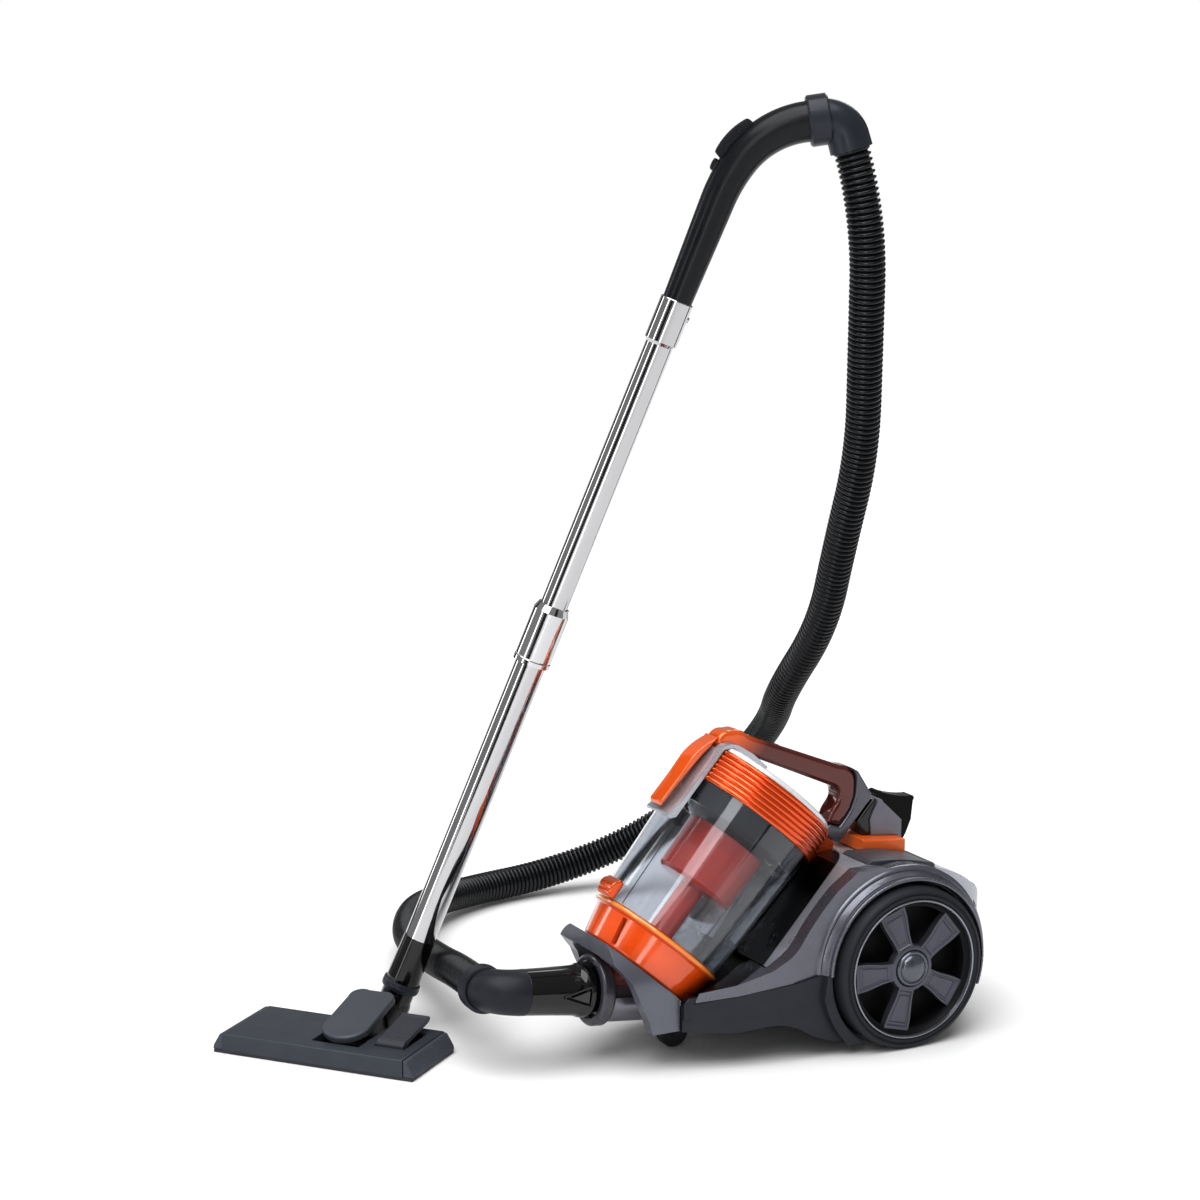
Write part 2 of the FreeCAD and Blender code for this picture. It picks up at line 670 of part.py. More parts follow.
def inlet():
    """The suction inlet at the nose: its flange ring, and the tube in its half cradle."""
    bore = dim("inlet_bore_radius")
    flange = turned("inlet_flange", [
        (bore + 5.5, -6), (39, -6), (40.5, -4.5, 41, -2), (41, 5), (39.8, 8.8, 37, 10), (33, 10),
        (bore + 5.5, 8.5)])
    tube = ring("inlet_pipe", bore + 4, bore, -66, 1.5)
    shell = ring("cradle_ring", 37.0, bore + 3.5, -64.0, -6.4)
    upper = box("cradle_upper", (-60.0, 60.0), (0.0, 60.0), (-80.0, 0.0))
    pipe = fused("inlet_pipe_in_cradle", tube, cut("cradle_half", shell, upper))
    for label, piece in (("inlet_ring", flange), ("inlet_tube", pipe)):
        place(piece, 0.0, dim("inlet_y"), dim("inlet_z"), INLET_TURN)
        keep(label, cut(label + "_clear", piece, cup_space(label + "_cup_room", 1.0)), "canister")


def motor_and_reel():
    """What the rear body holds: fan motor, its rotor, cord reel and spindle."""
    across = about("y", 90)
    housing = turned("motor_can", [
        (8.0, -30), (50, -30), (50, 36), (56, 42), (56, 74), (20, 78), (20, 74.5), (52, 71),
        (52, 44), (46, 38), (46, -26), (8.0, -26)])
    keep("motor_housing", housing, "canister", 0.0, -8.0, 92.0, across)
    impeller = turned("impeller_disc", [
        (0, -40), (7.9, -40), (7.9, -24), (40, -20), (40, 34), (12, 36), (12, 48), (50, 50),
        (50, 60), (18, 69), (0, 69)])
    keep("motor_rotor", impeller, "canister", 0.0, -8.0, 92.0, across)
    spool = turned("reel_spool", [
        (7.06, -84), (62, -84), (62, -81), (24, -81), (24, -50), (62, -50), (62, -47), (7.06, -47)])
    keep("cord_reel", spool, "canister", 0.0, 26.0, 98.0, across)
    spindle = cylinder("reel_spindle_rod", 7.0, -88.0, -44.0, 0.0, 0.0, 0.0, across)
    keep("reel_spindle", spindle, "canister", 0.0, 26.0, 98.0)


def cord_outlet():
    """The grommet through which a mains lead leaves the reel."""
    grommet = ring("outlet_grommet", 8.0, 4.0, 0.0, 12.0)
    keep("cord_outlet", grommet, "canister", -72.0, 123.0, 112.0, about("x", -90))


def chassis_screws():
    """Six screws up into the chassis from below, as one group."""
    places = [(x, y) for x in (-70.0, 70.0) for y in (-40.0, 10.0, 40.0)]
    screws = []
    for number, (x, y) in enumerate(places):
        screws.append(cylinder(f"chassis_screw_{number}", 3.5, 12.4, 14.8, x, y, 0.0))
    keep("chassis_screws", fused("chassis_screw_group", *screws), "canister")


# ---------------------------------------------------------------- dust cup

def cup_radius(height):
    """Outer radius of the clear cup at a height above its foot."""
    low, high = dim("cup_base_height"), dim("cup_clear_height")
    grow = (dim("cup_top_radius") - dim("cup_base_radius") - 2) / float(high)
    return dim("cup_base_radius") + 2 + grow * (height - float(low))


def cup_vessel():
    """The base lid, the clear vessel and the ribbed lid on top."""
    base_top = dim("cup_base_height")
    shell_top = base_top + dim("cup_clear_height")
    lid_top = shell_top + dim("lid_height")
    base = dim("cup_base_radius")
    wall = dim("cup_wall")
    lid = turned("base_lid_turned", [
        (0, 0), (base - 10, 0), (base - 8, 2), (base - 1, base_top - 9), (base + 2.5, base_top - 7),
        (base + 4, base_top - 4, base + 2.5, base_top - 1), (base + 1, base_top - 0.3),
        (base - 4, base_top - 0.3), (base - 4, base_top - 9), (base - 12, 4), (0, 4)])
    notch = box("base_lid_notch", (30.0, 36.0), (-90.0, -60.0), (4.0, 35.0))
    cup_base = cut("base_lid_notched", lid, notch)
    keep("cup_base_lid", cup_base, "cup")
    clear = turned("clear_vessel", [
        (cup_radius(46) - wall, base_top), (cup_radius(46), base_top), (dim("cup_top_radius"), shell_top),
        (dim("cup_top_radius") - wall, shell_top)])
    keep("cup_shell", clear, "cup")
    inner = dim("cup_top_radius") - wall - 1.6
    collar = turned("collar_turned", [
        (inner - 8, shell_top - 26), (inner - 1.4, shell_top - 26), (inner, shell_top),
        (inner - 8, shell_top)])
    screen = turned("screen_turned", [
        (50.5, shell_top - 34), (58, shell_top - 28), (inner - 7.5, shell_top - 6), (inner - 7.5, shell_top - 1),
        (inner - 9.5, shell_top - 1), (inner - 9.5, shell_top - 5), (57, shell_top - 25),
        (50.5, shell_top - 27.5)])
    keep("cup_collar", fused("collar_with_screen", collar, screen), "cup")
    top_radius = dim("cup_top_radius") + 1
    ribs = 7
    pitch = float(dim("lid_height")) / ribs
    outline = [(inner - 8, shell_top + 0.3), (top_radius, shell_top + 0.3)]
    for number in range(ribs):
        low = shell_top + 0.3 + number * (pitch - 0.1)
        outline.append((top_radius + 1.6 - 0.12 * number, low + pitch / 2, top_radius - 0.3 * number, low + pitch - 0.1))
    outline.append((inner - 8, lid_top - 0.4))
    lug = slab("lug_slab", "YZ", [(80, 226), (80, 255.2), (107, 257.5), (112, 250), (108, 230), (100, 224)],
               -22.0, 22.0)
    lug_cut = cut("lug_clear", lug, cylinder("lug_lid_room", top_radius - 5, 200.0, 300.0))
    keep("lid_ring", fused("lid_ring_with_lug", turned("lid_ring_turned", outline), lug_cut), "cup")
    cap = turned("lid_cap_turned", [
        (0, lid_top), (top_radius - 3, lid_top), (top_radius - 4, lid_top + 4, top_radius - 9, lid_top + 6),
        (40, lid_top + 8, 3, lid_top + 8.6), (0, lid_top + 8.6)])
    keep("lid_cap", cap, "cup")


def cup_inside():
    """The cyclone with its centre tube, and the filter under the lid."""
    shell_top = dim("cup_base_height") + dim("cup_clear_height")
    tube = ring("cyclone_pipe", 15.0, 13.0, 9.0, 117.6)
    body = turned("cyclone_turned", [
        (14.5, 112), (44, 114), (48, 118), (50.2, shell_top - 27), (47, shell_top - 27), (45, 120), (41, 117),
        (14.5, 115)])
    keep("cyclone", fused("cyclone_whole", tube, body), "cup")
    filter_pad = cylinder("cup_filter_pad", 66.0, shell_top + 2, shell_top + 36)
    keep("cup_filter", filter_pad, "cup")


def cup_handle():
    """The carrying handle over the lid: its amber grip and grey rear leg."""
    grip_outline = [
        (-96, 258), (-96.5, 268, -88, 277.5), (-80, 284.5, -66, 287), (58, 331.5), (79, 336, 90, 329),
        (100, 317), (106, 301), (107, 288), (107, 276.9), (95.4, 272.5), (90.5, 271), (86, 285),
        (85.5, 294), (82, 304, 71, 308.5), (-58, 267), (-70, 262.5, -78, 255), (-84, 250)]
    grip = slab("grip_slab", "YZ", grip_outline, -14.0, 14.0)
    grip_room = cylinder("grip_lid_room", dim("cup_top_radius") + 2.2, 0.0, 265.2)
    grip_cut = cut("grip_clear_of_lid", grip, grip_room)
    keep("handle_grip", grip_cut, "cup")
    leg_outline = [
        (71, 338.2), (84, 341), (112, 333), (119.6, 329, 120.5, 320), (120.5, 262), (108, 258.3), (92, 257),
        (92, 264), (95.4, 271.9), (107.4, 276.4), (107.4, 288), (106.4, 301.2), (100.3, 317.3),
        (90.5, 329.8), (81, 336.3, 71.2, 337.5)]
    leg = slab("leg_slab", "YZ", leg_outline, -15.0, 15.0)
    keep("handle_leg", rounded("leg_soft", leg, 3.5, in_planes((-15.0, 15.0))), "cup")


def lid_front():
    """The front of the lid: silver visor and the orange release lever above it."""
    visor = turned("visor_turned", [
        (92.1, 160), (97, 155), (100.5, 154.5, 101.5, 158), (98.5, 172, 97, 200), (96, 244),
        (92, 260, 80, 268.5), (60, 272), (38, 272), (38, 266), (60, 264.9), (84, 262.5), (92.1, 254)])
    front = box("visor_front", (-25.0, 25.0), (-120.0, -20.0), (100.0, 300.0))
    grip_room = box("visor_grip_room", (-14.4, 14.4), (-96.8, -10.0), (250.5, 300.0))
    keep("lid_visor", cut("visor_clear", common("visor_part", visor, front), grip_room), "cup")
    lever_outline = [
        (-106, 160), (-109.5, 164), (-109, 200), (-110, 224), (-106, 244, -99.5, 258),
        (-98.6, 262), (-98, 250), (-100.5, 236), (-102, 222), (-104.5, 190), (-105.2, 168)]
    lever = slab("lever_slab", "YZ", lever_outline, -13.0, 13.0)
    keep("release_lever", lever, "cup")


def base_latch():
    """The orange catch at the front of the base lid."""
    knuckle = slab("latch_slab", "YZ", [
        (-84.2, 47), (-84.2, 62), (-88, 67, -93, 64), (-97, 58, -95, 50), (-92, 44, -86, 45)], -14.0, 14.0)
    keep("base_latch", rounded("latch_soft", knuckle, 2.0, in_planes((-14.0, 14.0))), "cup")


# ---------------------------------------------------------------- hose and its ends

def connector():
    """The glossy plug on the hose's end, with its spring button."""
    radius = dim("connector_radius")
    bore = dim("inlet_bore_radius")
    plug = turned("connector_turned", [
        (bore - 2.4, -40), (bore - 0.4, -40), (bore - 0.4, 11), (radius + 2, 14), (radius + 2, 24),
        (radius, 28), (radius - 1.5, 60), (radius - 2.5, 92), (radius - 5.5, 92), (radius - 7.5, 60), (radius - 7.5, 22),
        (bore - 2.4, 14)])
    room = slab("button_room", "YZ", [(-9.4, 20), (9.4, 20), (0, 49)], 25.2, 40.0)
    keep("inlet_connector", cut("connector_with_room", plug, room), "inlet")
    button = slab("button_slab", "YZ", [(-7.4, 22), (7.4, 22), (0, 45)], 27.5, 30.8)
    keep("connector_button", button, "inlet")


# the hose's route between its two ends, from the canister's axle line
HOSE_ROUTE = [
    (-143.0, -440.5, 78.5), (-240.0, -419.0, 57.0), (-347.5, -413.0, 52.5), (-445.0, -371.0, 47.0),
    (-534.0, -311.0, 35.0), (-597.5, -214.0, 23.0), (-614.5, -98.5, 24.0), (-591.5, 11.0, 56.5),
    (-536.5, 91.5, 121.5), (-458.0, 127.0, 200.5), (-365.0, 114.0, 270.0), (-260.5, 62.0, 333.5),
    (-167.0, 63.5, 434.0), (-103.0, 45.0, 543.5), (-44.0, 36.5, 662.5), (-2.0, 11.0, 789.0)]
HANDLE_END = Vector(72.0, 0, 1040.4)
HANDLE_KNEE = Vector(17.2, 0, 1008.7)
HOSE_TOP = Vector(116.3, 0, 1022.7)
CUFF_STRAIGHT = 40.0
CUFF_REACH = 44.0


def world(frame, point):
    """A point of one of the frames, in the row's frame."""
    base_x, base_y, base_z, turn = FRAMES[frame]
    return Vector(float(base_x), float(base_y), float(base_z)) + turn.multVec(point)


def cuff_points():
    """The moulded elbow's centre line: connector face, corner and hose end."""
    start = world("inlet", Vector(0, 0, 92.3))
    corner = world("inlet", Vector(0, 0, 92.3 + CUFF_STRAIGHT))
    following = world("canister", Vector(*HOSE_ROUTE[0]))
    return [start, corner, corner + (following - corner).normalize() * CUFF_REACH]


def elbow_points():
    """The handle elbow's centre line in the tube's frame, from the handle to the hose."""
    heading = (HANDLE_END - HANDLE_KNEE).normalize()
    start = HANDLE_END + heading * 0.4
    return [start, start + heading * 24.0, HOSE_TOP]


def hose_route():
    """The hose's points in the row's frame."""
    top = elbow_points()
    outward = (top[2] - top[1]).normalize()
    middle_points = [world("canister", Vector(*point)) for point in HOSE_ROUTE]
    last = [world("tube", HOSE_TOP + outward * 76.0), world("tube", HOSE_TOP)]
    return cuff_points()[-1:] + middle_points + last


def arc_radii(points):
    """Each corner's arc: 0.45 of its shorter run over the tangent of half its turn."""
    radii = []
    for before, corner, following in zip(points[:-2], points[1:-1], points[2:]):
        shorter = min((corner - before).Length, (following - corner).Length)
        turn = (corner - before).getAngle(following - corner)
        radii.append(0.45 * shorter / math.tan(turn / 2))
    return radii


def hose():
    """The long corrugated hose, as a plain hollow tube along its route."""
    points = hose_route()
    radii = arc_radii(points)
    path = rounded_path(points, radii)
    outer_radius = dim("hose_radius")
    inner_radius = outer_radius - dim("hose_wall")
    outer = swept("hose_outer", path, outer_radius, outer_radius)
    inner = swept("hose_inner", path, inner_radius, inner_radius)
    tube = cut("hose_tube", outer, inner)
    doc.recompute()
    section = math.pi * (float(outer_radius) ** 2 - float(inner_radius) ** 2)
    print("hose length %.0f mm, volume over section times length %.4f" % (
        path.Length, tube.Shape.Volume / (section * path.Length)))
    print("hose arc radii mm:", [round(radius) for radius in radii])
    keep("hose", tube, "row")


def hose_cuff():
    """The moulded elbow between the connector and the hose."""
    path = rounded_path(cuff_points(), [31.0])
    outer = swept("cuff_outer", path, 26.0, dim("hose_radius") + 3)
    inner = swept("cuff_inner", path, 22.5, dim("hose_radius") - 1)
    keep("hose_cuff", cut("cuff_tube", outer, inner), "row")


def bent_handle():
    """The hand tube at the top of the telescopic tube, its ring and swivel elbow."""
    start = dim("socket_end") + 0.3
    points = [Vector(0, 0, float(start)), Vector(0, 0, 939.6), HANDLE_KNEE, HANDLE_END]
    path = rounded_path(points, [190.0, 108.0])
    outer = swept("handle_outer", path, dim("handle_start_radius"), dim("handle_end_radius"))
    inner = swept("handle_inner", path, dim("handle_start_radius") - 2.5, dim("handle_end_radius") - 3)
    spigot = cylinder("handle_spigot", dim("handle_start_radius") + 0.2, start - 45, start)
    bore = cylinder("handle_bore", dim("handle_start_radius") - 2.5, start - 46, start + 0.5)
    keep("handle_tube", cut("handle_hollow", fused("handle_whole", outer, spigot), inner, bore), "tube")
    heading = (HANDLE_END - HANDLE_KNEE).normalize()
    collar = turned("swivel_ring_turned", [
        (23.06, -14), (26.5, -14), (28.5, -12), (28.5, 8), (27, 10), (22.9, 10), (22.9, 0.4), (23.06, 0.4)])
    place(collar, HANDLE_END.x, 0.0, HANDLE_END.z, Rotation(Vector(0, 0, 1), heading))
    elbow_path = rounded_path(elbow_points(), [26.5])
    outer_elbow = swept("elbow_outer", elbow_path, 23.0, dim("hose_radius") + 3.5)
    inner_elbow = swept("elbow_inner", elbow_path, 19.0, dim("hose_radius") - 1)
    keep("hose_elbow", fused("elbow_with_ring", cut("elbow_hollow", outer_elbow, inner_elbow), collar), "tube")


def suction_slider():
    """The slider on the back of the handle's bend."""
    centre_x, centre_z = 112.6, 936.8

    def at(radius, degrees):
        angle = math.radians(degrees)
        return centre_x - radius * math.cos(angle), centre_z + radius * math.sin(angle)

    outline = [at(139.0, 12), at(140.5, 22) + at(138.6, 33), at(132.9, 35), at(132.9, 22) + at(132.9, 10)]
    keep("suction_slider", slab("slider_slab", "XZ", outline, -9.0, 9.0), "tube")


# ---------------------------------------------------------------- telescopic tube

def telescopic_tube():
    wall = dim("tube_wall")
    upper = dim("upper_tube_radius")
    lower = dim("lower_tube_radius")
    socket = dim("socket_radius")
    start, top = dim("socket_start"), dim("socket_end")
    upper_tube = turned("upper_tube_turned", [
        (upper - wall, dim("upper_tube_start")), (upper, dim("upper_tube_start")), (upper, start - 4),
        (socket, start), (socket, top - 1), (socket - 0.6, top), (socket - 1.8, top),
        (socket - 1.8, start + 2), (upper - wall, start - 2)])
    button = cylinder("socket_button_rod", 3.4, socket - 1.2, socket + 1.2, 0.0, 0.0, 781.0, about("y", 90))
    keep("upper_tube", fused("upper_tube_with_button", upper_tube, button), "tube")
    keep("lower_tube", ring("lower_tube_turned", lower, lower - wall, 0.0, dim("lower_tube_length")), "tube")
    low = dim("sleeve_start")
    high = low + dim("sleeve_length")
    outer = dim("sleeve_radius")
    sleeve = turned("sleeve_turned", [
        (lower + 0.3, low + 5), (outer - 0.6, low + 5), (outer, low + 7), (outer, high - 8),
        (outer - 3.2, high), (upper + 0.5, high), (upper + 0.5, high - 5), (lower + 0.3, high - 10)])
    foot_ring = ring("sleeve_ring_turned", outer + 0.6, lower + 0.3, low, low + 5.2)
    keep("lock_sleeve", fused("sleeve_with_ring", sleeve, foot_ring), "tube")


# ---------------------------------------------------------------- floor head

def neck():
    """The black neck under the chrome tube, with its ball elbow."""
    lower = dim("lower_tube_radius")
    spigot = lower - dim("tube_wall") - 0.2
    tube = turned("neck_turned", [
        (13, -62), (19.5, -62), (20, -52), (lower + 0.8, -10), (lower + 0.6, -0.3), (spigot, -0.3),
        (spigot, 40), (13, 40)])
    ball_turn = TUBE_TURN.inverted() * HEAD_TURN * about("x", -90.0 + NECK_RISE)
    ball = sphere("neck_ball", 20.5, 0.0, 0.0, NECK_Z)
    stub = cylinder("neck_stub", 19.0, NECK_Z, -61.0)
    spigot_rod = cylinder("swivel_spigot", 13.0, -44.0, 0.0, 0.0, 0.0, NECK_Z, ball_turn)
    keep("neck_tube", fused("neck_solid", tube, ball, stub, spigot_rod), "tube")


NECK_Z = -88.0
NECK_RISE = 8.0


def yoke_frame():
    """The swivel axis in the head's frame: its outer end and its direction."""
    base_x, base_y, base_z, base_turn = FRAMES["tube"]
    elbow = Vector(float(base_x), float(base_y), float(base_z)) + base_turn.multVec(Vector(0, 0, NECK_Z))
    head_x, head_y, head_z, head_turn = FRAMES["head"]
    local = head_turn.inverted().multVec(elbow - Vector(float(head_x), float(head_y), float(head_z)))
    rise = math.radians(NECK_RISE)
    return local, Vector(0, math.cos(rise), math.sin(rise))


def neck_yoke():
    """The swivelling yoke that joins the neck to the head's hinge, with its cover plate."""
    elbow, back = yoke_frame()
    turn = Rotation(Vector(0, 0, 1), back)
    hinge_x, hinge_y, hinge_z = dim("neck_x"), dim("hinge_y"), dim("hinge_z")
    socket = turned("yoke_socket", [
        (13.06, -48), (18, -48), (19.5, -44), (19.5, -22), (13.06, -22)])
    place(socket, elbow.x, elbow.y, elbow.z, turn)
    barrel = cylinder("yoke_barrel", 8.5, -24.0, 24.0, hinge_x, hinge_y, hinge_z, about("y", 90))
    arm = slab("yoke_arm", "YZ", [
        (float(hinge_y), float(hinge_z) - 6), (float(hinge_y), float(hinge_z) + 8),
        (float(elbow.y) - 52, float(elbow.z) + 2), (float(elbow.y) - 47, float(elbow.z) + 4),
        (float(elbow.y) - 47, float(elbow.z) - 16), (60, 7)],
        float(hinge_x) - 15, float(hinge_x) + 15)
    yoke = fused("yoke_whole", socket, barrel, arm)
    bored = cut("yoke_bored", yoke,
                cylinder("yoke_pin_hole", 3.06, -60, 60, hinge_x, hinge_y, hinge_z, about("y", 90)),
                place(cylinder("yoke_spigot_room", 13.06, 0, 26.2), *tuple(elbow - back * 48.2), turn))
    keep("neck_yoke", bored, "head")
    plate = slab("cover_slab", "XY", [
        (-28.5, -8), (0, -34, 28.5, -8), (28, 50), (24, 65, 8, 68), (-8, 68), (-24, 65, -28, 50)],
        0.0, 9.0)
    soft = rounded("cover_soft", plate, 3.0, lambda edge: edge.BoundBox.ZMin > 8.9)
    lift = 14.0
    keep("neck_cover", soft, "head", hinge_x, 4.0, 30.6, about("x", lift))


def head_shell():
    """The flat floor head: top shell with a well for the yoke."""
    half = dim("head_length") / 2 - 13
    deep = dim("head_depth") / 2
    low, high = dim("sole_height"), dim("head_height")
    block = box("head_block", (-half, half), (-deep, deep), (low, high))
    soft = rounded("head_soft", block, 2.5, lambda edge: middle(edge).z > high - 0.1)
    neck_x = dim("neck_x")
    hollow = box("head_hollow", (-half + 3, half - 3), (-deep + 3, deep - 3), (low - 1, high - 2.5))
    walls = cut("head_walls", soft, hollow)
    well_walls = box("head_well_block", (neck_x - 33, neck_x + 33), (-36.0, deep - 0.01), (low + 0.01, high - 2.4))
    with_well = fused("head_with_well", walls, well_walls)
    pedal_hole = box("head_pedal_hole", (63.0, 101.0), (-22.0, 36.0), (high - 4, high + 4))
    well = box("head_well", (neck_x - 30, neck_x + 30), (-34.0, deep + 10), (low + 1.5, high + 10))
    pin_hole = cylinder("head_pin_hole", 3.0, float(neck_x) - 33.1, float(neck_x) + 33.1,
                        0.0, dim("hinge_y"), dim("hinge_z"), about("y", 90))
    mouth = box("head_mouth", (neck_x - 26, neck_x + 26), (-30.0, -10.0), (low - 1, low + 3))
    keep("head_shell", cut("head_shell_solid", with_well, well, pedal_hole, pin_hole, mouth), "head")
    pin = cylinder("hinge_pin_rod", 3.0, float(neck_x) - 32.5, float(neck_x) + 32.5,
                   0.0, 0.0, 0.0, about("y", 90))
    keep("hinge_pin", pin, "head", 0.0, dim("hinge_y"), dim("hinge_z"))


def head_ends():
    """The two sloped, textured end caps."""
    half = dim("head_length") / 2
    deep = dim("head_depth") / 2
    high = dim("head_height")
    for side, sign in (("left", -1), ("right", 1)):
        corners = [(half - 12.7, dim("sole_height")), (half, dim("sole_height")), (half - 1, 9.0),
                   (half - 9, high - 1.5), (half - 12.7, high - 1)]
        outline = [(sign * x, z) for x, z in corners]
        cap = slab(f"end_cap_slab_{side}", "XZ", outline, -deep + 1, deep - 1)
        keep(f"end_cap_{side}", cap, "head")


def sole_plate():
    """The gliding sole with its suction mouth and the slot for the brush."""
    half = dim("head_length") / 2 - 1
    deep = dim("head_depth") / 2 - 1
    high = dim("sole_height") - 0.3
    neck_x = float(dim("neck_x"))
    plate = box("sole_block", (-half, half), (-deep, deep), (0.0, high))
    mouth = box("sole_mouth", (neck_x - 26, neck_x + 26), (-30.0, -10.0), (-1.0, 6.0))
    runs = ((-108.0, 108.0, -44.0), (-108.0, neck_x - 36, 45.0), (neck_x + 36, 108.0, 45.0))
    slots = []
    strips = []
    for number, (low, high_x, y) in enumerate(runs):
        slots.append(box(f"brush_slot_{number}", (low, high_x), (y - 3.2, y + 3.2), (-1.0, 6.0)))
        strips.append(box(f"brush_strip_{number}", (low + 2, high_x - 2), (y - 2.4, y + 2.4), (5.0, 16.0)))
    keep("sole_plate", cut("sole_with_slots", plate, mouth, *slots), "head")
    carriers = [box(f"brush_carrier_{number}", (low, low + 12), (-44.0, 45.0), (13.0, 16.0))
                for number, low in enumerate((-104.0, 92.0))]
    keep("brush_strips", fused("brush_set", *carriers, *strips), "head")


def foot_switch():
    """The pedal that lowers the brush, rocking on the head's top."""
    plate = slab("switch_slab", "YZ", [
        (-20, 22), (-20, 26), (-16, 30, -8, 31), (42, 40), (47, 41, 48, 37), (44, 34.5), (0, 27), (-14, 22)],
        65.0, 99.0)
    keep("head_pedal", rounded("switch_soft", plate, 1.8, in_planes((65.0, 99.0))), "head")


def build_all():
    for side, direction in (("left", 1), ("right", -1)):
        wheel(side, direction)
        fender(side, direction)
    stub_axles()
    caster()
    chassis_base()
    upper_shell()
    foot_pedal("power_pedal", 1)
    foot_pedal("rewind_pedal", -1)
    exhaust_grille()
    exhaust_filter()
    front_bracket()
    deck_and_tower()
    inlet()
    motor_and_reel()
    cord_outlet()
    chassis_screws()
    cup_vessel()
    cup_inside()
    cup_handle()
    lid_front()
    base_latch()
    connector()
    hose()
    hose_cuff()
    bent_handle()
    suction_slider()
    telescopic_tube()
    neck()
    neck_yoke()
    head_shell()
    head_ends()
    sole_plate()
    foot_switch()


def check_and_write():
    """Refuse a failed object or a bad solid, then write each node's file."""
    doc.recompute()
    failed = [item.Name for item in doc.Objects if "Invalid" in item.State or "Error" in item.State]
    if failed:
        raise ValueError(f"failed objects: {failed}")
    for node in nodes:
        if node.Shape.isNull() or not node.Shape.isValid() or not node.Shape.Solids:
            raise ValueError(f"bad shape: {node.Label}")
    for node in nodes:
        node.Shape.exportStep(f"parts/{node.Label}.step")
    for node in nodes:
        print(node.Label, len(node.Shape.Solids), round(node.Shape.Volume))
    print(len(nodes), "nodes written")


build_all()
check_and_write()
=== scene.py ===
import json
import math

import bmesh
import bpy
from mathutils import Matrix, Vector
from mathutils.geometry import tessellate_polygon

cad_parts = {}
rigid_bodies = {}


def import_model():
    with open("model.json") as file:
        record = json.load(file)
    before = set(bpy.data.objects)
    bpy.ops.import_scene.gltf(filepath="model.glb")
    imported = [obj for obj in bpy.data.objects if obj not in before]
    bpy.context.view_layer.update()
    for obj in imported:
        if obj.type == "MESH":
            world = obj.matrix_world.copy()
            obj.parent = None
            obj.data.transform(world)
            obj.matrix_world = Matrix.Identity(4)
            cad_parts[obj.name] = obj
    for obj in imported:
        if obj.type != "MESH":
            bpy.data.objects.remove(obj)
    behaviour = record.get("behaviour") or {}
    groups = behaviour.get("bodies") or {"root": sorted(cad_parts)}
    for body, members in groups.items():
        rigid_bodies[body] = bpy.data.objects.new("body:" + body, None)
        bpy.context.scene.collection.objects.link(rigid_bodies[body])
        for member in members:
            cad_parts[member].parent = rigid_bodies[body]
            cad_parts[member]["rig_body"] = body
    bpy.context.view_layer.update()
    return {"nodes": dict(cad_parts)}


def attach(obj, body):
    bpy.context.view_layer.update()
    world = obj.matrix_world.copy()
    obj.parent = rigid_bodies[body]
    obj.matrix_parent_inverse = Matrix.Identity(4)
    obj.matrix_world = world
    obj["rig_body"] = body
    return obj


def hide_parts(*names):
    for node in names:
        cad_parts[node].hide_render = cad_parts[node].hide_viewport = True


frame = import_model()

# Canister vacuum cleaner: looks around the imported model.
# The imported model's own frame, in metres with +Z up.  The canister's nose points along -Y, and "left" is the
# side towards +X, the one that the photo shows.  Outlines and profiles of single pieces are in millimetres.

NODES = frame["nodes"]
SCENE = bpy.context.scene
MM = 0.001

# Frames of the CAD, for the pieces that follow its axes.
MIDDLE_X = 0.07417
AXLE = Vector((MIDDLE_X, 0.28806, 0.095))
CUP_FRAME = Matrix.Translation((MIDDLE_X, 0.00106, 0.099)) @ Matrix.Rotation(math.radians(-41.5), 4, "X")
INLET_FRAME = Matrix.Translation((MIDDLE_X, -0.04894, 0.0824)) @ Matrix.Rotation(math.radians(83.5), 4, "X")
TUBE_FRAME = (Matrix.Translation((-0.12083, -0.17734, 0.1078))
              @ Matrix.Rotation(math.radians(62.4), 4, "Z") @ Matrix.Rotation(math.radians(21.8), 4, "Y"))


# ---------------------------------------------------------------- camera

CAMERA_AZIMUTH, CAMERA_ELEVATION = math.radians(62.4), math.radians(10.7)
CAMERA_PLACE = (2.76567, -1.44974, 1.1023)
CAMERA_LENS, CAMERA_SENSOR = 84.36, 36.0


def set_camera():
    """A camera at the photograph's angle."""
    data = bpy.data.cameras.new("photo_camera")
    data.sensor_width = CAMERA_SENSOR
    data.lens = CAMERA_LENS
    camera = bpy.data.objects.new("photo_camera", data)
    SCENE.collection.objects.link(camera)
    sine, cosine = math.sin(CAMERA_ELEVATION), math.cos(CAMERA_ELEVATION)
    right = Vector((math.cos(CAMERA_AZIMUTH), math.sin(CAMERA_AZIMUTH), 0.0))
    back = Vector((math.sin(CAMERA_AZIMUTH) * cosine, -math.cos(CAMERA_AZIMUTH) * cosine, sine))
    up = back.cross(right)
    camera.matrix_world = Matrix.Translation(CAMERA_PLACE) @ Matrix((right, up, back)).transposed().to_4x4()
    SCENE.camera = camera


# ---------------------------------------------------------------- mesh helpers

def linked(name, mesh, matrix=None):
    """A new object of that mesh, in the scene."""
    piece = bpy.data.objects.new(name, mesh)
    SCENE.collection.objects.link(piece)
    if matrix is not None:
        mesh.transform(matrix)
    return piece


def meshed(name, work):
    """A mesh of what was under construction, which is freed."""
    mesh = bpy.data.meshes.new(name)
    work.to_mesh(mesh)
    work.free()
    return mesh


def bridged(work, rings):
    """Faces from each ring of vertices to the next, all of one count."""
    count = len(rings[0])
    for first, second in zip(rings[:-1], rings[1:]):
        for number in range(count):
            following = (number + 1) % count
            work.faces.new((first[number], first[following], second[following], second[number]))


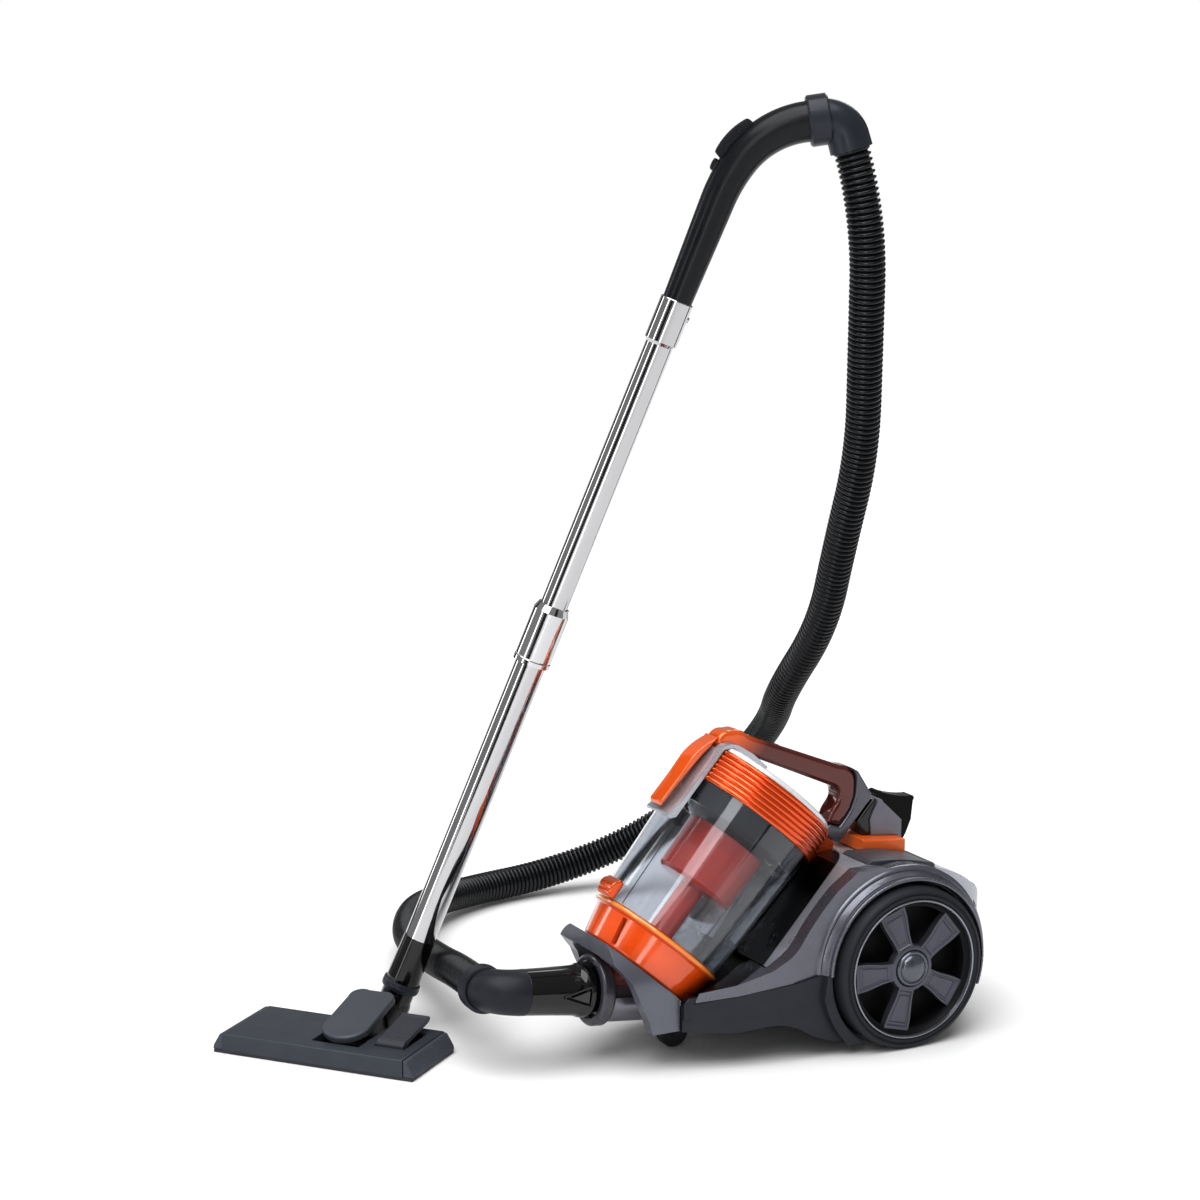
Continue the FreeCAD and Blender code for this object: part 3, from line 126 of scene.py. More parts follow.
def painted(piece, material):
    """The piece, with that material alone."""
    piece.data.materials.clear()
    piece.data.materials.append(material)
    return piece


def smoothed(mesh, limit):
    """Shade smooth, with edges sharper than the limit in degrees kept sharp."""
    work = bmesh.new()
    work.from_mesh(mesh)
    bmesh.ops.recalc_face_normals(work, faces=work.faces)
    for face in work.faces:
        face.smooth = True
    for edge in work.edges:
        edge.smooth = len(edge.link_faces) == 2 and edge.calc_face_angle(0.0) < math.radians(limit)
    work.to_mesh(mesh)
    work.free()
    return mesh


def lathe(name, profile, matrix, segments):
    """A closed surface of revolution about Z from a profile of (radius, z) in millimetres.

    A profile that starts and ends on the axis is closed there, any other is a ring.
    """
    work = bmesh.new()
    rings = []
    for radius, height in profile:
        if radius < 1e-6:
            rings.append([work.verts.new((0.0, 0.0, height * MM))])
            continue
        rings.append([work.verts.new((radius * MM * math.cos(math.tau * step / segments),
                                      radius * MM * math.sin(math.tau * step / segments),
                                      height * MM)) for step in range(segments)])
    pairs = list(zip(rings[:-1], rings[1:]))
    if len(rings[0]) > 1 or len(rings[-1]) > 1:
        pairs.append((rings[-1], rings[0]))
    for first, second in pairs:
        for step in range(segments):
            following = (step + 1) % segments
            corners = [first[step % len(first)], first[following % len(first)],
                       second[following % len(second)], second[step % len(second)]]
            unique = []
            for corner in corners:
                if corner not in unique:
                    unique.append(corner)
            if len(unique) > 2:
                work.faces.new(unique)
    return linked(name, smoothed(meshed(name, work), 34.0), matrix)


def bevelled(piece, width, limit=30.0):
    """Round the piece's edges sharper than the limit in degrees, and keep its flat faces flat."""
    for polygon in piece.data.polygons:
        polygon.use_smooth = True
    bevel = piece.modifiers.new("soft_edges", "BEVEL")
    bevel.width = width * MM
    bevel.segments = 2
    bevel.limit_method = "ANGLE"
    bevel.angle_limit = math.radians(limit)
    bevel.harden_normals = True
    bevel.use_clamp_overlap = True
    bpy.context.view_layer.update()
    graph = bpy.context.evaluated_depsgraph_get()
    done = bpy.data.meshes.new_from_object(piece.evaluated_get(graph), preserve_all_data_layers=True,
                                           depsgraph=graph)
    piece.modifiers.clear()
    piece.data = done
    return piece


def dense(outline, step=1.6):
    """An outline as close points: (x, y) ends a run, (mid_x, mid_y, x, y) ends an arc."""
    points = [Vector(outline[0])]
    for item in outline[1:] + [outline[0]]:
        start, end = points[-1], Vector(item[-2:])
        if len(item) == 2:
            count = max(1, round((end - start).length / step))
            points += [start.lerp(end, (number + 1) / count) for number in range(count)]
            continue
        middle = Vector(item[:2])
        first, second = middle - start, end - start
        twice = 2.0 * first.cross(second)
        centre = start + Vector((second.y * first.length_squared - first.y * second.length_squared,
                                 first.x * second.length_squared - second.x * first.length_squared)) / twice
        angles = [math.atan2(point.y - centre.y, point.x - centre.x) for point in (start, middle, end)]
        sweep = (angles[2] - angles[0]) % math.tau
        if (angles[1] - angles[0]) % math.tau > sweep:
            sweep -= math.tau
        radius = (start - centre).length
        count = max(2, round(abs(sweep) * radius / step))
        for number in range(count):
            angle = angles[0] + sweep * (number + 1) / count
            points.append(centre + Vector((math.cos(angle), math.sin(angle))) * radius)
    return points[:-1]


FAR = 1000.0
PARALLEL = 1e-9


def thickness(points, number, side):
    """How far a closed outline's opposite edge is from one of its points, along a side direction."""
    start, nearest = points[number], FAR
    for other in range(len(points)):
        first, run = points[other - 1], points[other] - points[other - 1]
        slope = side.cross(run)
        if abs(slope) < PARALLEL:
            continue
        reach, share = (first - start).cross(run) / slope, (first - start).cross(side) / slope
        if 0.0 <= share <= 1.0 and reach > 0.5:
            nearest = min(nearest, reach)
    return nearest


PILLOW_STEPS = 6
PILLOW_SHARE = 0.42
DEPTH_SLOPE = 0.3


def pillow(name, outline, low, high, radius, matrix, blur):
    """An outline in millimetres padded along Z, with softened corners and fully rounded edges.

    The rounding goes no deeper than a share of the outline's own thickness, and its depth changes slowly.
    """
    points = dense(outline)
    count = len(points)
    for _ in range(blur):
        points = [(points[number - 1] + points[number] * 2.0 + points[(number + 1) % count]) / 4.0
                  for number in range(count)]
    area = sum(points[number - 1].cross(points[number]) for number in range(count))
    if area < 0.0:
        points.reverse()
    inward = []
    for number in range(count):
        run = (points[(number + 1) % count] - points[number - 1]).normalized()
        inward.append(Vector((-run.y, run.x)))
    depths = [min(radius, PILLOW_SHARE * thickness(points, number, side))
              for number, side in enumerate(inward)]
    for _ in range(6):
        depths = [min(depths[number], (depths[number - 1] + depths[(number + 1) % count]) / 2 + DEPTH_SLOPE)
                  for number in range(count)]
    steps = []
    for number in range(PILLOW_STEPS + 1):
        angle = math.pi / 2 * number / PILLOW_STEPS
        steps.append((1.0 - math.sin(angle), radius * (1.0 - math.cos(angle))))
    levels = [(inset, low + rise) for inset, rise in steps]
    levels += [(inset, high - rise) for inset, rise in steps[::-1]]
    work = bmesh.new()
    rings = []
    for inset, height in levels:
        rings.append([work.verts.new((*((point + side * inset * depth) * MM), height * MM))
                      for point, side, depth in zip(points, inward, depths)])
    bridged(work, rings)
    triangles = tessellate_polygon([[Vector((*(point + side * depth), 0.0))
                                     for point, side, depth in zip(points, inward, depths)]])
    for corners in triangles:
        work.faces.new([rings[0][corner] for corner in corners])
        work.faces.new([rings[-1][corner] for corner in corners[::-1]])
    return linked(name, smoothed(meshed(name, work), 40.0), matrix)


def standing(piece, node, material):
    """The piece, with that material, takes a CAD node's place and body."""
    painted(piece, material)
    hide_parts(node)
    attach(piece, NODES[node]["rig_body"])
    return piece


def added(piece, node, material):
    """The piece is a detail beside a CAD node, on the same body."""
    painted(piece, material)
    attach(piece, NODES[node]["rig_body"])
    return piece


def softened(node, width, material):
    """A copy of a CAD node with edges rounded by a width in millimetres, which stands for it."""
    data = NODES[node].data
    work = bmesh.new()
    corners = [work.verts.new(vertex.co) for vertex in data.vertices]
    for polygon in data.polygons:
        try:
            work.faces.new([corners[index] for index in polygon.vertices])
        except ValueError:
            continue  # The face is there twice.
    bmesh.ops.remove_doubles(work, verts=work.verts, dist=2e-6)
    bmesh.ops.dissolve_degenerate(work, edges=work.edges, dist=1e-6)
    bmesh.ops.dissolve_limit(work, angle_limit=math.radians(0.6), verts=work.verts, edges=work.edges)
    bmesh.ops.recalc_face_normals(work, faces=work.faces)
    piece = bevelled(linked(node + "_soft", meshed(node + "_soft", work)), width)
    return standing(piece, node, material)


def frames_along(points):
    """Side and up directions at each point of a line, carried along without twist."""
    tangents = []
    for number in range(len(points)):
        before = points[max(number - 1, 0)]
        after = points[min(number + 1, len(points) - 1)]
        tangents.append((after - before).normalized())
    side = tangents[0].orthogonal().normalized()
    frames = []
    for number, tangent in enumerate(tangents):
        if number:
            side = tangents[number - 1].rotation_difference(tangent) @ side
        side = (side - tangent * side.dot(tangent)).normalized()
        frames.append((side, tangent.cross(side)))
    return frames


def tube_along(name, points, radii, segments, limit=50.0):
    """A closed round solid along a line, with a radius in metres at each point."""
    work = bmesh.new()
    rings = []
    for point, radius, (side, up) in zip(points, radii, frames_along(points)):
        rings.append([work.verts.new(point + (side * math.cos(math.tau * step / segments)
                                              + up * math.sin(math.tau * step / segments)) * radius)
                      for step in range(segments)])
    bridged(work, rings)
    work.faces.new(rings[0])
    work.faces.new(rings[-1])
    return linked(name, smoothed(meshed(name, work), limit))


# ---------------------------------------------------------------- materials

def tone(red, green, blue):
    """A colour given as 0 to 255 as one sees it, in linear numbers."""
    return tuple((value / 255.0) ** 2.2 for value in (red, green, blue))


# Scales of the procedural noise, in cycles per metre.
MOTTLE_SCALE = 21.0
FLECK_SCALE = 5200.0
WEAR_SCALE = 60.0
SMUDGE_SCALE = 34.0
SWELL_SCALE = 9.0
LINES_ACROSS, LINES_ALONG = 2600.0, 12.0


class Finish:
    """A procedural material under construction, in object coordinates."""

    def __init__(self, name):
        self.material = bpy.data.materials.new(name)
        self.material.use_nodes = True
        self.tree = self.material.node_tree
        self.tree.nodes.clear()
        output = self.add("ShaderNodeOutputMaterial")
        self.shader = self.add("ShaderNodeBsdfPrincipled")
        self.join(self.shader.outputs[0], output.inputs["Surface"])
        self.place = self.add("ShaderNodeTexCoord").outputs["Object"]

    def add(self, kind, **settings):
        """A new node with these settings."""
        node = self.tree.nodes.new(kind)
        for name, value in settings.items():
            setattr(node, name, value)
        return node

    def join(self, source, target):
        """A link from an output to an input."""
        self.tree.links.new(source, target)

    def fixed(self, **numbers):
        """Numbers that are the same all over, on the shader's own sockets."""
        for name, value in numbers.items():
            self.shader.inputs[name.replace("_", " ")].default_value = value

    def placed(self, kind, scale, turn=(0.0, 0.0, 0.0)):
        """Object coordinates, stretched and turned by a mapping node."""
        node = self.add("ShaderNodeMapping", vector_type=kind)
        node.inputs["Scale"].default_value = scale
        node.inputs["Rotation"].default_value = turn
        self.join(self.place, node.inputs["Vector"])
        return node.outputs["Vector"]

    def noise(self, scale, detail=2.0, place=None):
        """Noise with its scale in cycles per metre."""
        node = self.add("ShaderNodeTexNoise")
        node.inputs["Scale"].default_value = scale
        node.inputs["Detail"].default_value = detail
        self.join(self.place if place is None else place, node.inputs["Vector"])
        return node.outputs["Fac"]

    def waves(self, scale, turn):
        """Bands across X of turned coordinates."""
        node = self.add("ShaderNodeTexWave", bands_direction="X")
        node.inputs["Scale"].default_value = scale
        node.inputs["Distortion"].default_value = 0.0
        self.join(self.placed("TEXTURE", (1.0, 1.0, 1.0), turn), node.inputs["Vector"])
        return node.outputs["Fac"]

    def cells(self, scale):
        """The distance to the nearest of many scattered points."""
        node = self.add("ShaderNodeTexVoronoi", feature="F1")
        node.inputs["Scale"].default_value = scale
        self.join(self.place, node.inputs["Vector"])
        return node.outputs["Distance"]

    def spread(self, source, low, high, from_low, from_high):
        """The source, from its own range to the one from low to high."""
        node = self.add("ShaderNodeMapRange")
        node.inputs["From Min"].default_value = from_low
        node.inputs["From Max"].default_value = from_high
        node.inputs["To Min"].default_value = low
        node.inputs["To Max"].default_value = high
        self.join(source, node.inputs["Value"])
        return node.outputs["Result"]

    def blend(self, factor, first, second):
        """Two colours mixed by a factor; each is a colour or another node's output."""
        node = self.add("ShaderNodeMix", data_type="RGBA")
        self.join(factor, node.inputs["Factor"])
        for name, value in (("A", first), ("B", second)):
            socket = [item for item in node.inputs if item.name == name and item.type == "RGBA"][0]
            if isinstance(value, tuple):
                socket.default_value = (*value[:3], 1.0)
            else:
                self.join(value, socket)
        return [item for item in node.outputs if item.type == "RGBA"][0]

    def product(self, first, second):
        """Two outputs multiplied."""
        node = self.add("ShaderNodeMath", operation="MULTIPLY")
        self.join(first, node.inputs[0])
        self.join(second, node.inputs[1])
        return node.outputs[0]

    def vector(self, operation, first, second):
        """Vector arithmetic on an output and a constant or another output."""
        node = self.add("ShaderNodeVectorMath", operation=operation)
        for socket, value in zip(node.inputs, (first, second)):
            if isinstance(value, (tuple, Vector)):
                socket.default_value = value
            elif value is not None:
                self.join(value, socket)
        return node.outputs["Value" if operation in ("DOT_PRODUCT", "LENGTH") else "Vector"]

    def along(self, origin, direction, low, high):
        """0 to 1 along a direction, from low to high in metres."""
        return self.spread(self.vector("DOT_PRODUCT", self.vector("SUBTRACT", self.place, origin), direction),
                           0.0, 1.0, low, high)

    def facing_axis(self, origin, direction, reach):
        """1 on faces that look at an axis from nearer than the reach."""
        offset = self.vector("SUBTRACT", self.place, origin)
        scaled = self.add("ShaderNodeVectorMath", operation="SCALE")
        scaled.inputs[0].default_value = direction
        self.join(self.vector("DOT_PRODUCT", offset, direction), scaled.inputs["Scale"])
        radial = self.vector("SUBTRACT", offset, scaled.outputs["Vector"])
        near = self.spread(self.vector("LENGTH", radial, None), 1.0, 0.0, reach - 0.001, reach)
        normal = self.add("ShaderNodeNewGeometry").outputs["Normal"]
        looks = self.vector("DOT_PRODUCT", self.vector("NORMALIZE", radial, None), normal)
        return self.product(near, self.spread(looks, 1.0, 0.0, -0.12, -0.02))

    def edges(self, low=0.53, high=0.62):
        """Where the surface's edges stand out, from 0 to 1."""
        pointed = self.add("ShaderNodeNewGeometry").outputs["Pointiness"]
        return self.spread(pointed, 0.0, 1.0, low, high)

    def relief(self, *layers):
        """Bump from (height source, strength, depth in millimetres) layers."""
        normal = None
        for source, strength, depth in layers:
            bump = self.add("ShaderNodeBump")
            bump.inputs["Strength"].default_value = strength
            bump.inputs["Distance"].default_value = depth * MM
            self.join(source, bump.inputs["Height"])
            if normal is not None:
                self.join(normal, bump.inputs["Normal"])
            normal = bump.outputs["Normal"]
        self.join(normal, self.shader.inputs["Normal"])


def moulded(name, colour, rough, metallic=0.0, coat=0.0, *, grain, coat_rough=0.08, pitch=0.5,
            mottle=0.07, wear=0.35, through=0.0, pattern=None, fleck=0.0, scatter=0.0, tint=None, shine=0.5):
    """Moulded plastic, lacquer or metal: grain, slight mottling, smudges and pale worn edges.

    pitch is the grain's size in millimetres; pattern is called with the finish and gives one bump layer, and
    tint is called with the finish and the colour so far and gives the new colour.
    """
    finish = Finish(name)
    darker = tuple(value * (1.0 - mottle) for value in colour)
    lighter = tuple(min(1.0, value * (1.0 + mottle) + 0.002) for value in colour)
    surface = finish.blend(finish.noise(MOTTLE_SCALE, 3.0), darker, lighter)
    if fleck:
        bright = tuple(min(1.0, value * 1.5 + 0.05) for value in colour)
        flecks = finish.spread(finish.noise(FLECK_SCALE, 0.0), 0.0, fleck, 0.55, 0.75)
        surface = finish.blend(flecks, surface, bright)
    if wear:
        pale = tuple(min(1.0, value * 1.35 + 0.035) for value in colour)
        worn = finish.spread(finish.noise(WEAR_SCALE, 4.0), 0.0, wear, 0.35, 0.65)
        surface = finish.blend(finish.product(finish.edges(), worn), surface, pale)
    if tint:
        surface = tint(finish, surface)
    finish.join(surface, finish.shader.inputs["Base Color"])
    smudges = finish.spread(finish.noise(SMUDGE_SCALE, 4.0), max(0.02, rough - 0.07), rough + 0.07, 0.3, 0.7)
    finish.join(smudges, finish.shader.inputs["Roughness"])
    finish.fixed(Metallic=metallic, Coat_Weight=coat, Coat_Roughness=coat_rough, IOR=1.5,
                 Specular_IOR_Level=shine)
    if through:
        finish.fixed(Transmission_Weight=through)
    if scatter:
        finish.fixed(Subsurface_Weight=scatter, Subsurface_Scale=0.01)
    layers = [(finish.noise(SWELL_SCALE), 0.05, 1.0), (finish.noise(1.0 / (pitch * MM)), grain, 0.05)]
    if pattern:
        layers.append(pattern(finish))
    finish.relief(*layers)
    return finish.material


def brushed(name, colour, rough, turn):
    """Polished metal with very fine lines along Z of turned coordinates, and faint smudges."""
    finish = Finish(name)
    darker = tuple(value * 0.93 for value in colour)
    finish.join(finish.blend(finish.noise(18.0, 3.0), darker, colour), finish.shader.inputs["Base Color"])
    smudge = finish.spread(finish.noise(26.0, 5.0), max(0.01, rough - 0.02), rough + 0.06, 0.35, 0.7)
    finish.join(smudge, finish.shader.inputs["Roughness"])
    finish.fixed(Metallic=1.0)
    stretch = (1 / LINES_ACROSS, 1 / LINES_ACROSS, 1 / LINES_ALONG)
    lines = finish.noise(1.0, 2.0, finish.placed("TEXTURE", stretch, turn))
    finish.relief((finish.noise(14.0), 0.04, 1.0), (lines, 0.12, 0.02))
    return finish.material


def fibrous(name, colour, scale=700.0, depth=0.8):
    """Filter pad or bristles; depth is in millimetres."""
    finish = Finish(name)
    darker = tuple(value * 0.6 for value in colour)
    fibre = finish.noise(scale, 6.0, finish.placed("POINT", (1.0, 1.0, 0.25)))
    finish.join(finish.blend(finish.spread(fibre, 0.0, 1.0, 0.35, 0.65), darker, colour),
                finish.shader.inputs["Base Color"])
    finish.fixed(Roughness=0.95)
    finish.relief((fibre, 0.8, depth))
    return finish.material


def smoky_clear(name, colour):
    """Clear plastic with a grey tint, faint flow marks and smudges."""
    finish = Finish(name)
    darker = tuple(value * 0.9 for value in colour)
    finish.join(finish.blend(finish.noise(16.0, 3.0), darker, colour), finish.shader.inputs["Base Color"])
    smudges = finish.spread(finish.noise(40.0, 4.0), 0.015, 0.075, 0.35, 0.7)
    finish.join(smudges, finish.shader.inputs["Roughness"])
    finish.fixed(Transmission_Weight=1.0, IOR=1.45, Coat_Weight=0.4, Coat_Roughness=0.02)
    finish.relief((finish.noise(12.0), 0.04, 1.0))
    return finish.material


def ribbed(scale, turn):
    """A pattern of parallel ribs."""
    return lambda finish: (finish.waves(scale, turn), 0.9, 0.6)


def dotted(scale):
    """A pattern of small raised dots."""
    return lambda finish: (finish.spread(finish.cells(scale), 1.0, 0.0, 0.15, 0.6), 0.9, 0.5)


# How far from the cup's axis the painted shade behind the cup reaches, in metres.
CRADLE_REACH = 0.118
AMBER_FRONT, AMBER_BACK = -0.078, -0.038


def painted_cradle_shade(finish, surface):
    """Painted shade: cradle faces near the cup's axis that look at it are coloured near black, for the shadow
    behind the cup.
    """
    axis = CUP_FRAME.to_3x3() @ Vector((0.0, 0.0, 1.0))
    # Mask of the painted shade: faces near the cup's axis that look towards it.
    cradle_shade_mask = finish.facing_axis(CUP_FRAME.translation, axis, CRADLE_REACH)
    return finish.blend(cradle_shade_mask, surface, tone(18, 18, 20))


def amber_front_and_painted_edge_glow(finish, surface):
    """Orange at the grip's front, red-brown between, and a painted glow in orange along the rounded edges, for
    light shining through the thin amber plastic.
    """
    rearward = CUP_FRAME.to_3x3() @ Vector((0.0, 1.0, 0.0))
    # Painted glow: the rounded edges are coloured orange for light shining through the thin plastic.
    surface = finish.blend(finish.edges(0.53, 0.59), surface, tone(222, 92, 28))
    behind = finish.along(CUP_FRAME.translation, rearward, AMBER_FRONT, AMBER_BACK)
    return finish.blend(behind, tone(232, 100, 34), surface)


HEAD_TURN = (0.0, 0.0, math.radians(39.4))
TUBE_TURN = TUBE_FRAME.to_euler()[:]


def all_finishes():
    """Every material, by a short name."""
    return {
        # Panel, shell and chassis carry the painted shade in the cradle behind the cup.
        "panel": moulded("lacquered_graphite", tone(104, 105, 114), 0.30, 0.7, 0.3, grain=0.05, fleck=0.5,
                         tint=painted_cradle_shade),
        "shell": moulded("lacquered_silver", tone(176, 178, 185), 0.32, 0.5, 0.3, grain=0.05, fleck=0.5,
                         tint=painted_cradle_shade),
        "chassis": moulded("charcoal_plastic", tone(48, 50, 56), 0.40, 0.1, grain=0.35, pitch=0.8, shine=0.3,
                           tint=painted_cradle_shade),
        "bracket": moulded("bracket_grey", tone(104, 106, 116), 0.34, 0.55, 0.2, grain=0.08, fleck=0.4),
        "tyre": moulded("tyre_rubber", tone(44, 46, 51), 0.52, grain=0.4, pitch=0.6, shine=0.25, wear=0.2),
        "rim": moulded("rim_lacquer", tone(84, 85, 95), 0.36, 0.55, 0.2, grain=0.25, pitch=0.9, fleck=0.4),
        "barrel": moulded("rim_barrel_black", tone(26, 26, 29), 0.5, 0.2, grain=0.1, wear=0.1, shine=0.2),
        "lip": moulded("rim_lip_silver", tone(146, 148, 156), 0.24, 0.85, grain=0.03, wear=0.2),
        "hub": moulded("hub_cap_grey", tone(96, 98, 108), 0.26, 0.7, 0.5, grain=0.04, wear=0.2),
        "orange_lid": moulded("orange_lacquer", tone(222, 88, 24), 0.2, 0.7, 0.8, grain=0.04, mottle=0.12),
        "orange_base": moulded("orange_clear_band", tone(240, 94, 30), 0.14, 0.0, 1.0, grain=0.03,
                               through=0.15, scatter=0.2, mottle=0.16, wear=0.0),
        # The bead is a real ridge; its pale amber is a painted highlight along the top of the orange band.
        "bead_painted_highlight": moulded("bead_painted_highlight", tone(250, 156, 58), 0.14, 0.0, 1.0, grain=0.03, through=0.2),
        "orange_lever": moulded("orange_gloss", tone(230, 98, 36), 0.14, 0.15, 1.0, grain=0.03, mottle=0.12),
        "orange_strip": moulded("orange_satin", tone(226, 106, 40), 0.32, 0.05, 0.3, grain=0.1),
        "grip": moulded("amber_grip", tone(92, 30, 17), 0.12, 0.3, 0.8, grain=0.02, mottle=0.22,
                        tint=amber_front_and_painted_edge_glow),
        "clear": smoky_clear("smoky_clear_plastic", (0.76, 0.79, 0.84)),
        "collar": moulded("collar_smoke", tone(26, 29, 36), 0.14, 0.1, 0.4, grain=0.03),
        "cyclone": moulded("cyclone_red", tone(232, 56, 28), 0.2, 0.0, 0.8, grain=0.03, mottle=0.18,
                           scatter=0.2),
        "lid_top": moulded("lid_silver", tone(226, 228, 232), 0.28, 0.2, 0.4, grain=0.05),
        "visor": moulded("visor_silver", tone(178, 179, 186), 0.24, 0.65, 0.4, grain=0.04, fleck=0.4),
        "leg": moulded("leg_grey", tone(92, 92, 100), 0.28, 0.6, 0.4, grain=0.05, fleck=0.4),
        "tower": moulded("tower_grey", tone(118, 118, 128), 0.38, 0.35, 0.1, grain=0.1),
        "black": moulded("gloss_black", tone(16, 16, 18), 0.12, 0.0, 0.6, grain=0.03, shine=0.3,
                         coat_rough=0.04),
        "hook": moulded("hook_black", tone(13, 12, 13), 0.38, 0.0, 0.0, grain=0.2, shine=0.15),
        "cuff": moulded("cuff_grey", tone(42, 44, 50), 0.40, 0.05, grain=0.3, shine=0.25, pitch=0.6),
        "hose": moulded("hose_black", tone(22, 24, 28), 0.26, 0.0, 0.25, grain=0.12, shine=0.25, wear=0.6,
                        coat_rough=0.12),
        "handle": moulded("handle_black", tone(24, 26, 30), 0.30, 0.0, 0.12, grain=0.25, shine=0.25,
                          coat_rough=0.16),
        "slider": moulded("slider_black", tone(36, 37, 41), 0.45, 0.1, grain=0.2, shine=0.2,
                          pattern=dotted(330.0)),
        "elbow": moulded("elbow_grey", tone(46, 49, 57), 0.34, 0.1, 0.05, grain=0.15, shine=0.3),
        "chrome": brushed("chrome_tube", (0.58, 0.58, 0.59), 0.06, TUBE_TURN),
        "steel": brushed("plain_steel", (0.56, 0.56, 0.57), 0.24, (0.0, math.radians(90), 0.0)),
        "sole": moulded("sole_plate_grey", tone(60, 61, 66), 0.4, 0.5, grain=0.2),
        "head": moulded("head_graphite", tone(62, 66, 73), 0.36, 0.15, 0.05, grain=0.16, shine=0.3,
                        mottle=0.05),
        "end_cap": moulded("end_cap_grey", tone(76, 79, 88), 0.5, 0.1, grain=0.3, shine=0.25,
                           pattern=dotted(420.0)),
        "pedal": moulded("pedal_grey", tone(72, 74, 80), 0.46, 0.1, grain=0.3, shine=0.3,
                         pattern=ribbed(180.0, HEAD_TURN)),
        "cover": moulded("cover_grey", tone(76, 79, 86), 0.44, 0.2, 0.05, grain=0.4, shine=0.3, pitch=0.7,
                         fleck=0.5),
        "foot_pedal": moulded("rear_pedal_grey", tone(78, 80, 87), 0.4, 0.3, 0.1, grain=0.25),
        "grille": moulded("grille_black", tone(24, 25, 28), 0.45, grain=0.3),
        "caster": moulded("caster_grey", tone(46, 47, 51), 0.45, grain=0.3, shine=0.3),
        "filter": fibrous("filter_pad", tone(222, 221, 214)),
        "bristle": fibrous("brush_bristle", tone(44, 44, 48), 900.0, 1.5),
        "motor": moulded("motor_can_grey", tone(120, 121, 124), 0.4, 0.8, grain=0.1),
        "inner_black": moulded("reel_black", tone(34, 35, 38), 0.45, grain=0.2),
        "ring_black": moulded("inlet_ring_grey", tone(70, 70, 77), 0.26, 0.35, 0.4, grain=0.1),
        "pipe": moulded("inlet_pipe_grey", tone(124, 123, 132), 0.22, 0.75, 0.4, grain=0.04, fleck=0.4),
        "button": moulded("button_grey", tone(34, 34, 38), 0.2, 0.2, 0.8, grain=0.05),
        "sleeve": brushed("sleeve_chrome", (0.66, 0.66, 0.67), 0.09, TUBE_TURN),
    }


# ---------------------------------------------------------------- hose

HOSE_RADIUS = 0.0205
HOSE_PITCH = 0.0065
HOSE_GROOVE = 0.0034
HOSE_RIDGE = (0.0, 0.5, 0.92, 1.0, 0.92, 0.5)
HOSE_POINTS = [
    (0.0313, -0.1720, 0.0917), (-0.0688, -0.1524, 0.0785), (-0.1658, -0.1309, 0.0570),
    (-0.2733, -0.1249, 0.0525), (-0.3708, -0.0829, 0.0470), (-0.4598, -0.0229, 0.0350),
    (-0.5233, 0.0741, 0.0230), (-0.5403, 0.1896, 0.0240), (-0.5173, 0.2991, 0.0565),
    (-0.4623, 0.3796, 0.1215), (-0.3838, 0.4151, 0.2005), (-0.2908, 0.4021, 0.2700),
    (-0.1863, 0.3501, 0.3335), (-0.0928, 0.3516, 0.4340), (-0.0288, 0.3331, 0.5435),
    (0.0302, 0.3246, 0.6625), (0.0722, 0.2991, 0.7890), (0.1148, 0.2735, 0.9411),
    (0.1052, 0.2549, 1.0142)]


def route_line(points):
    """The smooth NURBS line of a route, as close points."""
    curve = bpy.data.curves.new("route", "CURVE")
    curve.dimensions = "3D"
    curve.resolution_u = 64
    spline = curve.splines.new("NURBS")
    spline.points.add(len(points) - 1)
    for corner, point in zip(spline.points, points):
        corner.co = (*point, 1.0)
    spline.order_u = 3
    spline.use_endpoint_u = True
    holder = bpy.data.objects.new("route", curve)
    SCENE.collection.objects.link(holder)
    bpy.context.view_layer.update()
    mesh = bpy.data.meshes.new_from_object(holder.evaluated_get(bpy.context.evaluated_depsgraph_get()))
    line = [vertex.co.copy() for vertex in mesh.vertices]
    bpy.data.objects.remove(holder)
    bpy.data.curves.remove(curve)
    bpy.data.meshes.remove(mesh)
    return line


def even_steps(line, step):
    """Points at an even spacing along a line, and the line's length."""
    lengths = [0.0]
    for first, second in zip(line[:-1], line[1:]):
        lengths.append(lengths[-1] + (second - first).length)
    count = round(lengths[-1] / step)
    points = []
    number = 0
    for mark in range(count + 1):
        wanted = lengths[-1] * mark / count
        while number < len(line) - 2 and lengths[number + 1] < wanted:
            number += 1
        share = (wanted - lengths[number]) / max(1e-12, lengths[number + 1] - lengths[number])
        points.append(line[number].lerp(line[number + 1], share))
    return points, lengths[-1]


def build_hose(finishes):
    """The corrugated hose, from its cuff at the canister to the handle's elbow."""
    points, length = even_steps(route_line(HOSE_POINTS), HOSE_PITCH / len(HOSE_RIDGE))
    valley = HOSE_RADIUS - HOSE_GROOVE
    radii = [valley + (HOSE_RADIUS - valley) * HOSE_RIDGE[number % len(HOSE_RIDGE)]
             for number in range(len(points))]
    hose = painted(tube_along("corrugated_hose", points, radii, 30, 75.0), finishes["hose"])
    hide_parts("hose")
    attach(hose, "canister")


# ---------------------------------------------------------------- rear wheels

